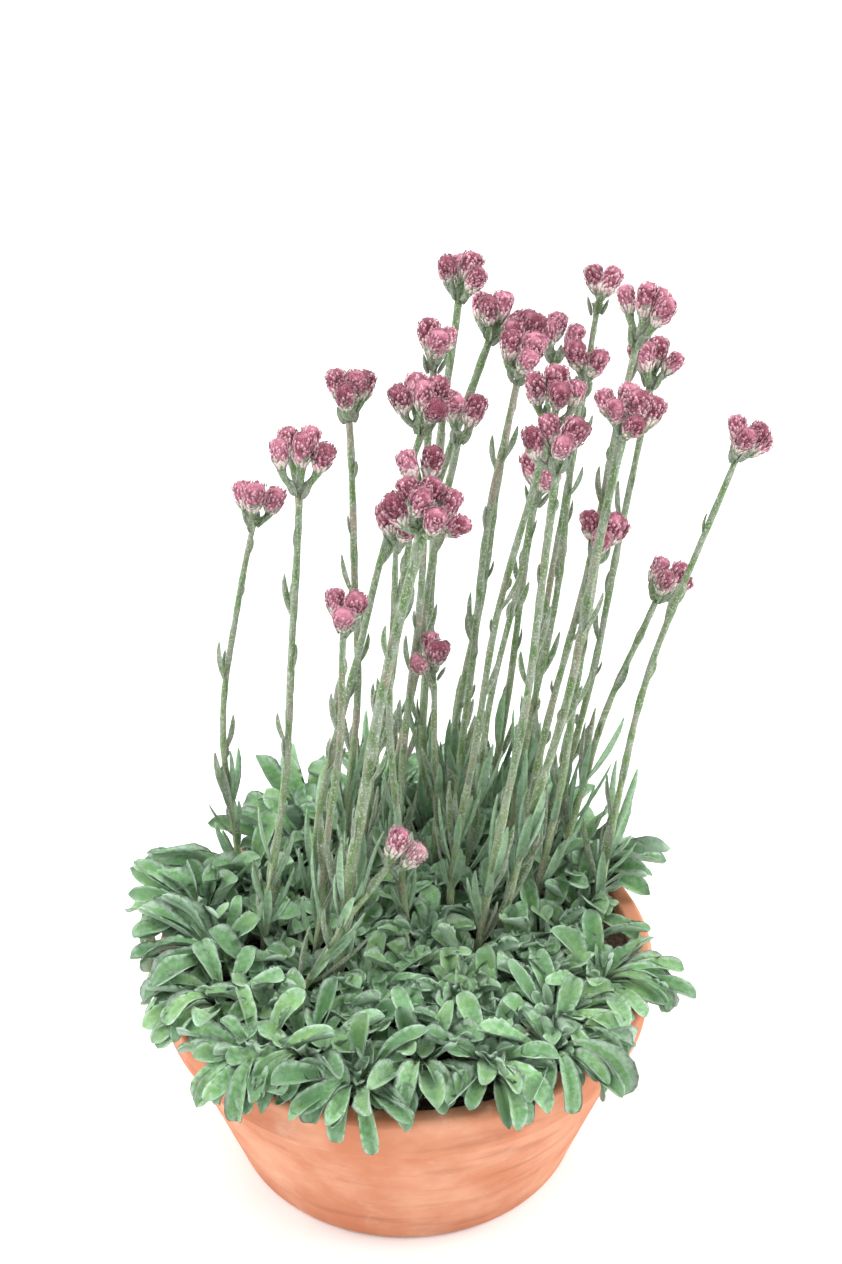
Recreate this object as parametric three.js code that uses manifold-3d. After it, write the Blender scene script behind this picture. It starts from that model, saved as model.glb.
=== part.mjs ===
// Rosy pussytoes in a plain clay pot, in millimetres, +Z up.
// The origin is the centre of the pot's flat underside, and +X runs to the right as the plant is seen from its front.
// The plant is one mat of spoon-shaped woolly leaves in rosettes, which spills over the pot's rim. The flowering
// stems stand in it, each in its own hole in the soil, with a cluster of fluffy pink heads on its end.
import * as THREE from "three";
import { mergeVertices } from "three/addons/utils/BufferGeometryUtils.js";
import Module from "manifold-3d";

const wasm = await Module();
wasm.setup();

// Gap between two pieces that touch in the real plant.
const SEAT_GAP = 0.3;

// Clay pot, wide and shallow.
const POT_HEIGHT = 66;
const POT_BASE_RADIUS = 51;
const POT_RIM_RADIUS = 72;
const POT_RIM_HEIGHT = 15;
const POT_RIM_STEP = 2.2;
const POT_WALL = 3.6;
const POT_FLOOR = 5;
const POT_EDGE = 1.2;
const POT_SIDES = 24;
const DRAIN_HOLES = 4;
const DRAIN_RADIUS = 4.5;
const DRAIN_CIRCLE = 26;
const DRAIN_SIDES = 6;

// Soil.
const SOIL_LEVEL = 64;
const HOLE_DEPTH = 8;
const HOLE_CLEARANCE = 0.45;
const COLLAR_HEIGHT = 2.6;

// Leaf mat: rosettes on a spiral, with their leaves and runners.
const MAT_SEED = 2207;
const ROSETTES = 55;
const ROSETTE_FIELD = 62.4;
const EDGE_FROM = 50;
const INNER_LEAVES = 5;
const EDGE_LEAVES = 6;
const CROWN_RADIUS = 3;
const CROWN_HEIGHT = 5;
const ROOT_REACH = 1.9;
const ROOT_HEIGHT = 2;
const ROOT_STEP = 0.45;
const THATCH_THICKNESS = 1.2;
const LEAF_LENGTH = [17, 24];
const EDGE_LEAF_LENGTH = [20, 27];
const LEAF_WIDTH = [6.4, 8.2];
const LEAF_KEEL = 0.75;
const LEAF_CUP = 0.1;
const LEAF_TURNS = [0, 0.22, -0.22, 0.44, -0.44];
const LEAF_LIFTS = [0, 0.2, -0.2, 0.4, -0.4];
const LEAF_SHARES = [1, 0.85, 0.7];
const STEM_CLEARANCE = 1.3;
const LEAF_CLEARANCE = 1.25;
const RIM_CLEARANCE = 2.3;
const GOLDEN_ANGLE = Math.PI * (3 - Math.sqrt(5));

// Flowering stems.
const STEM_SEED = 911;
const STEM_SIDES = 4;
const STEM_FOOT_RADIUS = 1.3;
const STEM_TOP_RADIUS = 0.95;
const STEM_STEPS = [0, 0.22, 0.44, 0.66, 0.86, 1];
const STEM_LEAF_EVERY = 48;
const STEM_LEAF_LENGTH = [9, 15];
const STEM_LEAF_WIDTH = 2.6;
const STEM_LEAF_FROM = 21;
const STEM_LEAF_SIDES = [0, 2, 1];

// Flower heads.
const HEAD_WIDTH = 6.8;
const HEAD_HEIGHT = 7;
const HEAD_BRACTS = 5;
const HEAD_SPACING = 1;
const SPIRAL_STEP = 0.65;
const KNOB_RADIUS = 1.8;
const KNOB_HEIGHT = 2.2;
const KNOB_SIDES = 4;
const STALK_ROOT = 0.4;
const STALK_ROOT_RADIUS = 0.25;
const STALK_TOP_RADIUS = 0.95;

// Each flowering stem: where its foot stands, where its top ends (x, y, height over the soil), how far its
// middle bows to the right, how many heads it carries, the length of their stalks and how stout the stem is.
const FLOWER_STEMS = [
  { foot: [-49, 31], top: [-42, 40, 121], bow: -6, heads: 3, stalk: 5, stout: 0.9 },
  { foot: [-41, -4], top: [-27, 6, 151], bow: 3, heads: 5, stalk: 9, stout: 1 },
  { foot: [-20, 30], top: [-15, 44, 152], bow: 4, heads: 4, stalk: 6, stout: 1 },
  { foot: [-28, 18], top: [5, 34, 154], bow: -2, heads: 7, stalk: 7, stout: 1 },
  { foot: [-6, 42], top: [15, 56, 139], bow: 0, heads: 2, stalk: 5, stout: 1 },
  { foot: [-14, 8], top: [4, 19, 144], bow: 0, heads: 2, stalk: 4, stout: 0.9 },
  { foot: [-19, -16], top: [5, -10, 149], bow: -1, heads: 8, stalk: 6, stout: 1.45 },
  { foot: [-26, -7], top: [-16, 0, 112], bow: 2, heads: 3, stalk: 4, stout: 1 },
  { foot: [8, 30], top: [8, 31, 77], bow: 1, heads: 3, stalk: 4, stout: 0.9 },
  { foot: [-30, -23], top: [-4, -16, 46], bow: 1, heads: 2, stalk: 3, stout: 0.9 },
  { foot: [6, 50], top: [15, 67, 177], bow: -3, heads: 4, stalk: 5, stout: 1.1 },
  { foot: [-3, 26], top: [8, 47, 166], bow: 1, heads: 3, stalk: 5, stout: 1 },
  { foot: [-12, 52], top: [24, 79, 159], bow: -4, heads: 4, stalk: 5, stout: 1.2 },
  { foot: [12, 54], top: [33, 68, 159], bow: 0, heads: 3, stalk: 5, stout: 1 },
  { foot: [16, 38], top: [31, 51, 161], bow: -3, heads: 3, stalk: 5, stout: 1 },
  { foot: [24, 50], top: [42, 76, 154], bow: 2, heads: 3, stalk: 5, stout: 1 },
  { foot: [30, 38], top: [49, 62, 151], bow: 3, heads: 2, stalk: 6, stout: 1 },
  { foot: [13, 11], top: [39, 27, 159], bow: -2, heads: 4, stalk: 7, stout: 1 },
  { foot: [21, -2], top: [40, 11, 155], bow: 3, heads: 5, stalk: 6, stout: 1.1 },
  { foot: [17, 24], top: [36, 41, 128], bow: 0, heads: 3, stalk: 5, stout: 0.9 },
  { foot: [34, 46], top: [54, 80, 167], bow: 0, heads: 2, stalk: 5, stout: 0.9 },
  { foot: [32, 25], top: [63, 51, 172], bow: 2, heads: 4, stalk: 8, stout: 1 },
  { foot: [42, 37], top: [69, 68, 150], bow: 3, heads: 4, stalk: 5, stout: 1 },
  { foot: [28, 7], top: [57, 16, 162], bow: 4, heads: 7, stalk: 6, stout: 1.2 },
  { foot: [38, 15], top: [53, 29, 117], bow: 2, heads: 4, stalk: 5, stout: 1 },
  { foot: [46, 28], top: [73, 54, 88], bow: -2, heads: 4, stalk: 4, stout: 1 },
  { foot: [57, 14], top: [92, 49, 137], bow: -4, heads: 4, stalk: 4, stout: 1 },
  { foot: [1, 3], top: [-2, 6, 135], bow: -3, heads: 2, stalk: 4, stout: 0.9 },
];

// Materials, one for each kind of piece.
const CLAY = new THREE.MeshStandardMaterial({ color: 0xb9775a, roughness: 0.9, metalness: 0 });
const SOIL = new THREE.MeshStandardMaterial({ color: 0x3a2c22, roughness: 1, metalness: 0 });
const LEAF = new THREE.MeshStandardMaterial({ color: 0x8fb596, roughness: 0.9, metalness: 0 });
const STEM = new THREE.MeshStandardMaterial({ color: 0x8f9f83, roughness: 0.9, metalness: 0 });
const BLOOM = new THREE.MeshStandardMaterial({ color: 0xc76b8c, roughness: 0.95, metalness: 0 });

// A seeded source of numbers from 0 to 1.
function seededRandom(seed) {
  let state = seed >>> 0;
  return () => {
    state = (state + 0x6d2b79f5) >>> 0;
    let t = state;
    t = Math.imul(t ^ (t >>> 15), t | 1);
    t ^= t + Math.imul(t ^ (t >>> 7), t | 61);
    return ((t ^ (t >>> 14)) >>> 0) / 4294967296;
  };
}

function between([low, high], share) {
  return low + (high - low) * share;
}

function vec(x, y, z) {
  return new THREE.Vector3(x, y, z);
}

// A closed geometry as a solid that can be joined and cut.
function solidOf(geometry) {
  const bare = geometry.clone();
  bare.deleteAttribute("normal");
  bare.deleteAttribute("uv");
  const merged = mergeVertices(bare, 1e-4);
  return new wasm.Manifold(
    new wasm.Mesh({
      numProp: 3,
      vertProperties: new Float32Array(merged.attributes.position.array),
      triVerts: new Uint32Array(merged.index.array),
    }),
  );
}

// A solid as a named mesh.
function meshOf(name, solid, material) {
  const made = solid.getMesh();
  const positions = new Float32Array(made.numVert * 3);
  for (let i = 0; i < made.numVert; i++)
    positions.set(made.vertProperties.subarray(i * made.numProp, i * made.numProp + 3), i * 3);
  const geometry = new THREE.BufferGeometry();
  geometry.setAttribute("position", new THREE.BufferAttribute(positions, 3));
  geometry.setIndex(new THREE.BufferAttribute(new Uint32Array(made.triVerts), 1));
  geometry.computeVertexNormals();
  const mesh = new THREE.Mesh(geometry, material);
  mesh.name = name;
  return mesh;
}

// Joins a list of solids into one, fills what they seal in and leaves out what hangs loose.
function joined(solids) {
  const bodies = wasm.Manifold.union(solids).decompose();
  return bodies.reduce((most, body) => (body.volume() > most.volume() ? body : most));
}

// A closed geometry from points and triangles.
function facets(points, triangles) {
  const geometry = new THREE.BufferGeometry();
  geometry.setAttribute(
    "position",
    new THREE.Float32BufferAttribute(points.flatMap((p) => [p.x, p.y, p.z]), 3),
  );
  geometry.setIndex(triangles.flat());
  return geometry;
}

// A closed skin over rings of as many points each, anticlockwise as seen from the last ring, with flat ends.
function loft(rings) {
  const count = rings[0].length;
  const triangles = [];
  for (let r = 0; r + 1 < rings.length; r++)
    for (let i = 0; i < count; i++) {
      const a = r * count + i;
      const b = r * count + ((i + 1) % count);
      triangles.push([a, b, b + count], [a, b + count, a + count]);
    }
  const last = (rings.length - 1) * count;
  for (let i = 1; i + 1 < count; i++)
    triangles.push([0, i + 1, i], [last, last + i, last + i + 1]);
  return facets(rings.flat(), triangles);
}

// A ring of points round a centre, square to a direction.
function ringAround(centre, direction, radius, sides, turn = 0) {
  const forward = direction.clone().normalize();
  const helper = Math.abs(forward.z) > 0.9 ? vec(1, 0, 0) : vec(0, 0, 1);
  const across = helper.clone().cross(forward).normalize();
  const up = forward.clone().cross(across);
  return Array.from({ length: sides }, (_, i) => {
    const angle = turn + (i * 2 * Math.PI) / sides;
    return centre
      .clone()
      .addScaledVector(across, radius * Math.cos(angle))
      .addScaledVector(up, radius * Math.sin(angle));
  });
}

// The pot, turned from one profile, with drain holes through its floor.
function potSolid() {
  const rimFoot = POT_HEIGHT - POT_RIM_HEIGHT;
  const innerTop = POT_RIM_RADIUS - POT_RIM_STEP - POT_WALL;
  const innerFoot = POT_BASE_RADIUS - POT_WALL;
  const profile = [
    [0, 0],
    [POT_BASE_RADIUS - POT_EDGE, 0],
    [POT_BASE_RADIUS, POT_EDGE],
    [POT_RIM_RADIUS - POT_RIM_STEP - POT_EDGE, rimFoot],
    [POT_RIM_RADIUS - POT_EDGE, rimFoot + POT_EDGE / 2],
    [POT_RIM_RADIUS, POT_HEIGHT - POT_EDGE],
    [POT_RIM_RADIUS - POT_EDGE, POT_HEIGHT],
    [innerTop, POT_HEIGHT],
    [innerFoot, POT_FLOOR],
    [0, POT_FLOOR],
  ].map(([r, z]) => new THREE.Vector2(r, z));
  const turned = new THREE.LatheGeometry(profile, POT_SIDES);
  turned.rotateX(Math.PI / 2);
  const drains = Array.from({ length: DRAIN_HOLES }, (_, i) => {
    const angle = ((i + 0.5) * 2 * Math.PI) / DRAIN_HOLES;
    const drain = new THREE.CylinderGeometry(DRAIN_RADIUS, DRAIN_RADIUS, 3 * POT_FLOOR, DRAIN_SIDES);
    drain.rotateX(Math.PI / 2);
    drain.translate(DRAIN_CIRCLE * Math.cos(angle), DRAIN_CIRCLE * Math.sin(angle), POT_FLOOR / 2);
    return solidOf(drain);
  });
  return solidOf(turned).subtract(wasm.Manifold.union(drains));
}

// The radius of the pot's inside at a height.
function potInside(z) {
  const top = POT_RIM_RADIUS - POT_RIM_STEP - POT_WALL;
  const foot = POT_BASE_RADIUS - POT_WALL;
  return foot + ((top - foot) * (z - POT_FLOOR)) / (POT_HEIGHT - POT_FLOOR);
}

// The soil, a plug in the pot with a plain hole for each stem.
function soilSolid(stems) {
  const foot = POT_FLOOR + SEAT_GAP;
  const wallGap = 2 * SEAT_GAP;
  const profile = [
    [0, foot],
    [potInside(foot) - wallGap, foot],
    [potInside(SOIL_LEVEL) - wallGap, SOIL_LEVEL],
    [0, SOIL_LEVEL],
  ].map(([r, z]) => new THREE.Vector2(r, z));
  const plug = new THREE.LatheGeometry(profile, POT_SIDES);
  plug.rotateX(Math.PI / 2);
  const holes = stems.map((stem) => {
    const bottom = vec(stem.foot.x, stem.foot.y, SOIL_LEVEL - HOLE_DEPTH);
    const mouth = vec(stem.foot.x, stem.foot.y, SOIL_LEVEL + 1);
    const radius = stem.footRadius + HOLE_CLEARANCE;
    return solidOf(
      loft([
        ringAround(bottom, vec(0, 0, 1), radius, STEM_SIDES),
        ringAround(mouth, vec(0, 0, 1), radius, STEM_SIDES),
      ]),
    );
  });
  return solidOf(plug).subtract(wasm.Manifold.union(holes));
}

// A flowering stem's line: straight up out of its hole, then leaning and bowing to its top.
class FlowerStem {
  constructor(row, index) {
    const random = seededRandom(STEM_SEED + index);
    this.foot = vec(row.foot[0], row.foot[1], SOIL_LEVEL + COLLAR_HEIGHT);
    this.top = vec(row.top[0], row.top[1], SOIL_LEVEL + row.top[2]);
    this.bow = row.bow;
    this.heads = row.heads;
    this.stalk = row.stalk;
    this.footRadius = STEM_FOOT_RADIUS * row.stout;
    this.topRadius = STEM_TOP_RADIUS * row.stout;
    this.kink = between([0.4, 1.1], random());
    this.phase = 2 * Math.PI * random();
    this.roll = 2 * Math.PI * random();
    this.firstSide = Math.floor(4 * random());
    const leaves = Math.max(1, Math.floor(row.top[2] / STEM_LEAF_EVERY));
    this.leafShares = Array.from({ length: leaves }, () => random());
  }

  // The centre at a share of the way up, from 0 where it clears its hole to 1 at the top.
  at(share) {
    const lean = share ** 1.25;
    const arch = Math.sin(Math.PI * share);
    const sway = this.kink * arch;
    return vec(
      this.foot.x + (this.top.x - this.foot.x) * lean + this.bow * arch + sway * Math.sin(9 * share + this.phase),
      this.foot.y + (this.top.y - this.foot.y) * lean + sway * Math.cos(8 * share + this.phase),
      this.foot.z + (this.top.z - this.foot.z) * share,
    );
  }

  // The centre at a height over the soil.
  atRise(rise) {
    const share = (rise - COLLAR_HEIGHT) / (this.top.z - this.foot.z);
    return this.at(Math.min(1, Math.max(0, share)));
  }

  // The direction of growth at a share of the way up.
  heading(share) {
    const step = 0.02;
    const low = Math.max(0, share - step);
    const high = Math.min(1, share + step);
    return this.at(high).sub(this.at(low)).normalize();
  }

  radiusAt(share) {
    return this.footRadius + (this.topRadius - this.footRadius) * share;
  }

  // The directions in which the heads stand on their stalks, on a spiral that keeps them a head's width apart.
  headDirections() {
    const axis = this.heading(1);
    const reach = this.stalk + HEAD_HEIGHT * 0.62;
    const apart = 2 * Math.asin((HEAD_SPACING * HEAD_WIDTH) / (2 * reach));
    const [first] = ringAround(vec(0, 0, 0), axis, 1, 3, this.roll);
    return Array.from({ length: this.heads }, (_, k) => {
      const open = 2 * Math.asin((apart / 2) * SPIRAL_STEP * Math.sqrt(k + 0.5));
      const side = first.clone().applyAxisAngle(axis, k * GOLDEN_ANGLE);
      return axis.clone().multiplyScalar(Math.cos(open)).addScaledVector(side, Math.sin(open)).normalize();
    });
  }
}

// One fluffy head on its stalk: the stalk widens to a narrow foot, a crown of bract tips and a dome of florets.
function headGeometry(middle, direction, stalk, turn, size) {
  const width = HEAD_WIDTH * size;
  const height = HEAD_HEIGHT * size;
  const along = (distance) => middle.clone().addScaledVector(direction, distance);
  const half = Math.PI / HEAD_BRACTS;
  const root = ringAround(along(STALK_ROOT), direction, STALK_ROOT_RADIUS, HEAD_BRACTS, turn + half);
  const foot = ringAround(along(stalk), direction, STALK_TOP_RADIUS, HEAD_BRACTS, turn + half);
  const notches = ringAround(along(stalk + 0.58 * height), direction, width * 0.41, HEAD_BRACTS, turn + half);
  const tips = ringAround(along(stalk + 0.7 * height), direction, width * 0.5, HEAD_BRACTS, turn);
  const points = [...root, ...foot, ...notches, ...tips, along(stalk + height)];
  const pole = 4 * HEAD_BRACTS;
  const triangles = [];
  for (let i = 0; i < HEAD_BRACTS; i++) {
    const next = (i + 1) % HEAD_BRACTS;
    const [low, lowNext] = [HEAD_BRACTS + i, HEAD_BRACTS + next];
    const [notch, notchNext] = [2 * HEAD_BRACTS + i, 2 * HEAD_BRACTS + next];
    const tip = 3 * HEAD_BRACTS + next;
    triangles.push([i, next, lowNext], [i, lowNext, low]);
    triangles.push([low, lowNext, tip], [low, tip, notch], [lowNext, notchNext, tip]);
    triangles.push([notch, tip, pole], [tip, notchNext, pole]);
  }
  for (let i = 1; i + 1 < HEAD_BRACTS; i++) triangles.push([0, i + 1, i]);
  return facets(points, triangles);
}

// A narrow leaf on a stem, standing up close to it, with its root in the stem.
function stemLeafSolid(stem, share, turn, length) {
  const heading = stem.heading(share);
  const [out] = ringAround(vec(0, 0, 0), heading, 1, 3, turn);
  const side = heading.clone().cross(out);
  const radius = stem.radiusAt(share);
  const rings = [
    { along: 0, away: radius * 0.3, halfWidth: 0.4, keel: 0.45 },
    { along: 0.5, away: radius + 1.9, halfWidth: STEM_LEAF_WIDTH / 2, keel: 0.8 },
    { along: 1, away: radius + 3.4, halfWidth: 0.45, keel: 0.5 },
  ].map(({ along, away, halfWidth, keel }) => {
    const centre = stem.at(share).addScaledVector(heading, along * length).addScaledVector(out, away);
    return [
      centre.clone().addScaledVector(side, halfWidth),
      centre.clone().addScaledVector(side, -halfWidth),
      centre.clone().addScaledVector(out, keel),
    ];
  });
  return solidOf(loft(rings));
}

// The green part of a flowering stem: the stem and its narrow leaves.
function stemSolid(stem) {
  const upright = vec(0, 0, 1);
  const buried = stem.foot.clone().setZ(SOIL_LEVEL - HOLE_DEPTH + SEAT_GAP);
  const rings = [
    ringAround(buried, upright, stem.footRadius, STEM_SIDES),
    ...STEM_STEPS.map((share) =>
      ringAround(stem.at(share), share ? stem.heading(share) : upright, stem.radiusAt(share), STEM_SIDES),
    ),
  ];
  const leaves = stem.leafShares.map((random, i) => {
    const lowest = STEM_LEAF_FROM / (stem.top.z - stem.foot.z);
    const share = lowest + ((0.88 - lowest) * (i + 0.8 * random)) / stem.leafShares.length;
    const side = Math.PI * (0.25 + 0.5 * (stem.firstSide + STEM_LEAF_SIDES[i]));
    return stemLeafSolid(stem, share, side, between(STEM_LEAF_LENGTH, 1 - random));
  });
  return joined([solidOf(loft(rings)), ...leaves]);
}

// The flower cluster of a stem: a small knob on the stem's end, its stalks and a head on each.
function bloomSolid(stem) {
  const axis = stem.heading(1);
  const knobRing = (distance, radius) =>
    ringAround(stem.top.clone().addScaledVector(axis, distance), axis, radius, KNOB_SIDES, stem.roll);
  const knob = loft([knobRing(SEAT_GAP, stem.topRadius), knobRing(KNOB_HEIGHT, KNOB_RADIUS)]);
  const middle = stem.top.clone().addScaledVector(axis, KNOB_HEIGHT * 0.4);
  const heads = stem
    .headDirections()
    .map((direction, k) => headGeometry(middle, direction, stem.stalk, stem.roll + k, 1 - 0.04 * (k % 3)));
  return joined([knob, ...heads].map(solidOf));
}

// One mat leaf: a line that arches outwards from its root, and a spoon-shaped blade on it.
class Leaf {
  constructor({ root, azimuth, pitch, bend, length, width, roll }) {
    Object.assign(this, { root, azimuth, pitch, bend, length, width, roll });
    this.outward = vec(Math.cos(azimuth), Math.sin(azimuth), 0);
  }

  // Half the blade's width at a share of its length.
  halfWidth(share) {
    const neck = 0.22;
    if (share < 0.68) return (this.width / 2) * (neck + (1 - neck) * (share / 0.68));
    return (this.width / 2) * Math.sqrt(Math.max(0, 1 - ((share - 0.68) / 0.36) ** 2));
  }

  // The blade's frame at a share of its length: its centre, its side and the way its face looks.
  frameAt(share) {
    const slope = this.pitch - this.bend * share;
    const run = (this.length * (Math.sin(this.pitch) - Math.sin(slope))) / this.bend;
    const rise = (this.length * (Math.cos(slope) - Math.cos(this.pitch))) / this.bend;
    const centre = this.root.clone().addScaledVector(this.outward, run).add(vec(0, 0, rise));
    const tangent = this.outward.clone().multiplyScalar(Math.cos(slope)).add(vec(0, 0, Math.sin(slope)));
    const turn = this.roll * share;
    const side = vec(-this.outward.y, this.outward.x, 0).applyAxisAngle(tangent, turn);
    return { centre, side, face: tangent.clone().cross(side) };
  }

  // A point of the upper face, from -1 at one edge to 1 at the other.
  point(share, across) {
    const { centre, side, face } = this.frameAt(share);
    const half = this.halfWidth(share);
    return centre.addScaledVector(side, across * half).addScaledVector(face, LEAF_CUP * half * Math.abs(across));
  }

  // Points spread over the blade, for telling how near it comes to something.
  samples() {
    return [0.2, 0.3, 0.4, 0.5, 0.6, 0.7, 0.8, 0.9, 1].flatMap((share) =>
      [-1, -0.5, 0, 0.5, 1].map((across) => this.point(share, across)),
    );
  }

  solid() {
    const rings = [0, 0.68, 0.95].map((share) => {
      const { centre, face } = this.frameAt(share);
      const keel = LEAF_KEEL * (share < 0.9 ? 1 : 0.7);
      return [this.point(share, 1), this.point(share, -1), centre.addScaledVector(face, -keel)];
    });
    return solidOf(loft(rings));
  }
}

// Distance from a point to the nearest stem's skin.
function stemDistance(point, stems) {
  let nearest = Infinity;
  for (const stem of stems) {
    const level = stem.atRise(point.z - SOIL_LEVEL).setZ(point.z);
    nearest = Math.min(nearest, level.distanceTo(point) - stem.footRadius);
  }
  return nearest;
}

// Whether a point of a leaf is clear of the pot's rim and the soil.
function clearOfPot(point) {
  const radius = Math.hypot(point.x, point.y);
  if (radius > POT_RIM_RADIUS + RIM_CLEARANCE) return true;
  if (radius > potInside(SOIL_LEVEL) - RIM_CLEARANCE) return point.z > POT_HEIGHT + RIM_CLEARANCE;
  return point.z > SOIL_LEVEL + RIM_CLEARANCE;
}

// A rosette: where its crown stands and how many leaves it carries, each on a face of the crown.
class Rosette {
  constructor(centre, turn) {
    this.centre = centre;
    this.reach = Math.hypot(centre.x, centre.y);
    this.outward = Math.atan2(centre.y, centre.x);
    this.edge = this.reach > EDGE_FROM;
    this.count = this.edge ? EDGE_LEAVES : INNER_LEAVES;
    this.turn = this.edge ? this.outward : turn;
  }

  // The direction of a face of the crown.
  faceAngle(index) {
    return this.turn + (index * 2 * Math.PI) / this.count;
  }

  crownSolid() {
    const ring = (rise) =>
      Array.from({ length: this.count }, (_, i) => {
        const angle = this.faceAngle(i + 0.5);
        return this.centre.clone().add(vec(CROWN_RADIUS * Math.cos(angle), CROWN_RADIUS * Math.sin(angle), rise));
      });
    return solidOf(loft([ring(THATCH_THICKNESS / 2), ring(CROWN_HEIGHT)]));
  }
}

// The rosettes on a spiral, each pushed clear of the stems.
function makeRosettes(stems) {
  const random = seededRandom(MAT_SEED);
  return Array.from({ length: ROSETTES }, (_, k) => {
    const reach = ROSETTE_FIELD * Math.sqrt((k + 0.5) / ROSETTES);
    const angle = k * GOLDEN_ANGLE + 0.2 * (random() - 0.5);
    const centre = vec(reach * Math.cos(angle), reach * Math.sin(angle), SOIL_LEVEL + SEAT_GAP);
    for (let pass = 0; pass < 6; pass++)
      for (const stem of stems)
        for (const rise of [0, CROWN_HEIGHT]) {
          const away = centre.clone().sub(stem.atRise(rise)).setZ(0);
          const room = CROWN_RADIUS + stem.footRadius + 0.8 - away.length();
          if (room > 0) centre.addScaledVector(away.normalize(), room);
        }
    const out = Math.hypot(centre.x, centre.y);
    const widest = ROSETTE_FIELD / Math.max(ROSETTE_FIELD, out);
    return new Rosette(centre.multiply(vec(widest, widest, 1)), 2 * Math.PI * random());
  });
}

// The shapes that one leaf may take, the likeliest first.
function leafTrials(rosette, index, draws) {
  const face = rosette.faceAngle(index);
  const facing = Math.cos(face - rosette.outward);
  const behind = Math.max(0, Math.sin(rosette.outward));
  const slope = rosette.edge ? 0.75 - 0.35 * facing + 0.2 * behind : 0.9;
  const droop = rosette.edge ? 0.5 * Math.max(0, facing) : 0;
  const root = rosette.centre
    .clone()
    .add(vec(ROOT_REACH * Math.cos(face), ROOT_REACH * Math.sin(face), ROOT_HEIGHT + ROOT_STEP * (index % 3)));
  const trials = [];
  for (const share of LEAF_SHARES)
    for (const lift of LEAF_LIFTS)
      for (const turn of LEAF_TURNS)
        trials.push(
          new Leaf({
            root,
            azimuth: face + 0.3 * (draws[0] - 0.5) + turn,
            pitch: slope + 0.3 * (draws[1] - 0.5) + lift,
            bend: 0.3 + 0.5 * draws[2] + droop,
            length: share * between(rosette.edge ? EDGE_LEAF_LENGTH : LEAF_LENGTH, draws[3]),
            width: between(LEAF_WIDTH, draws[4]),
            roll: 0.6 * (draws[5] - 0.5),
          }),
        );
  return trials;
}

// The leaves of the whole mat, from its edge inwards: of each leaf's trials the first that is clear of the pot,
// the stems and the leaves before it.
function matLeaves(rosettes, stems) {
  const random = seededRandom(MAT_SEED + 1);
  const grown = [];
  const roomy = ({ points, middle }) =>
    grown.every(
      (other) =>
        other.middle.distanceTo(middle) > 26 ||
        other.points.every((q) => points.every((p) => p.distanceToSquared(q) > LEAF_CLEARANCE ** 2)),
    );
  for (const rosette of [...rosettes].reverse())
    for (let index = 0; index < rosette.count; index++) {
      const draws = Array.from({ length: 6 }, () => random());
      const free = leafTrials(rosette, index, draws)
        .map((leaf) => ({ leaf, points: leaf.samples(), middle: leaf.point(0.6, 0) }))
        .filter(({ points }) => points.every(clearOfPot) && points.every((p) => stemDistance(p, stems) > STEM_CLEARANCE))
        .find(roomy);
      if (free) grown.push(free);
    }
  return grown.map(({ leaf }) => leaf);
}

// The thatch of old leaves and runners that lies on the soil and holds the rosettes together.
function thatchSolid(stems) {
  const low = SOIL_LEVEL + SEAT_GAP;
  const radius = potInside(SOIL_LEVEL) - 3 * SEAT_GAP;
  const disc = new THREE.CylinderGeometry(radius, radius, THATCH_THICKNESS, POT_SIDES);
  disc.rotateX(Math.PI / 2);
  disc.translate(0, 0, low + THATCH_THICKNESS / 2);
  const holes = stems.map((stem) => {
    const ring = (z) =>
      ringAround(vec(stem.foot.x, stem.foot.y, z), vec(0, 0, 1), stem.footRadius + HOLE_CLEARANCE, STEM_SIDES);
    return solidOf(loft([ring(low - 1), ring(low + THATCH_THICKNESS + 1)]));
  });
  return solidOf(disc).subtract(wasm.Manifold.union(holes));
}

// The whole mat, one body held together by its thatch.
function matSolid(stems) {
  const rosettes = makeRosettes(stems);
  const crowns = rosettes.map((rosette) => rosette.crownSolid());
  const leaves = matLeaves(rosettes, stems).map((leaf) => leaf.solid());
  return joined([thatchSolid(stems), ...crowns, ...leaves]);
}

const stems = FLOWER_STEMS.map((row, index) => new FlowerStem(row, index));
const plant = new THREE.Group();
plant.name = "potted_rosy_pussytoes";
plant.add(meshOf("pot", potSolid(), CLAY));
plant.add(meshOf("soil", soilSolid(stems), SOIL));
plant.add(meshOf("leaf_mat", matSolid(stems), LEAF));
stems.forEach((stem, index) => {
  const number = String(index + 1).padStart(2, "0");
  plant.add(meshOf(`stem_${number}`, stemSolid(stem), STEM));
  plant.add(meshOf(`bloom_${number}`, bloomSolid(stem), BLOOM));
});

export default plant;
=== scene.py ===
"""Rosy pussytoes in a shallow clay pot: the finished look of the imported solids, in their own frame.

Each solid is replaced by one finer piece that keeps its place and form. Layout is worked out in millimetres
with the same rules and seeds that placed the solids, and turned into metres when a mesh is made.
"""

import logging
import math
from dataclasses import dataclass, field, replace
from enum import Enum
from typing import Any, Sequence

import bmesh
import bpy
import numpy as np
from mathutils import Euler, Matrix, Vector
from mathutils.geometry import delaunay_2d_cdt


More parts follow.
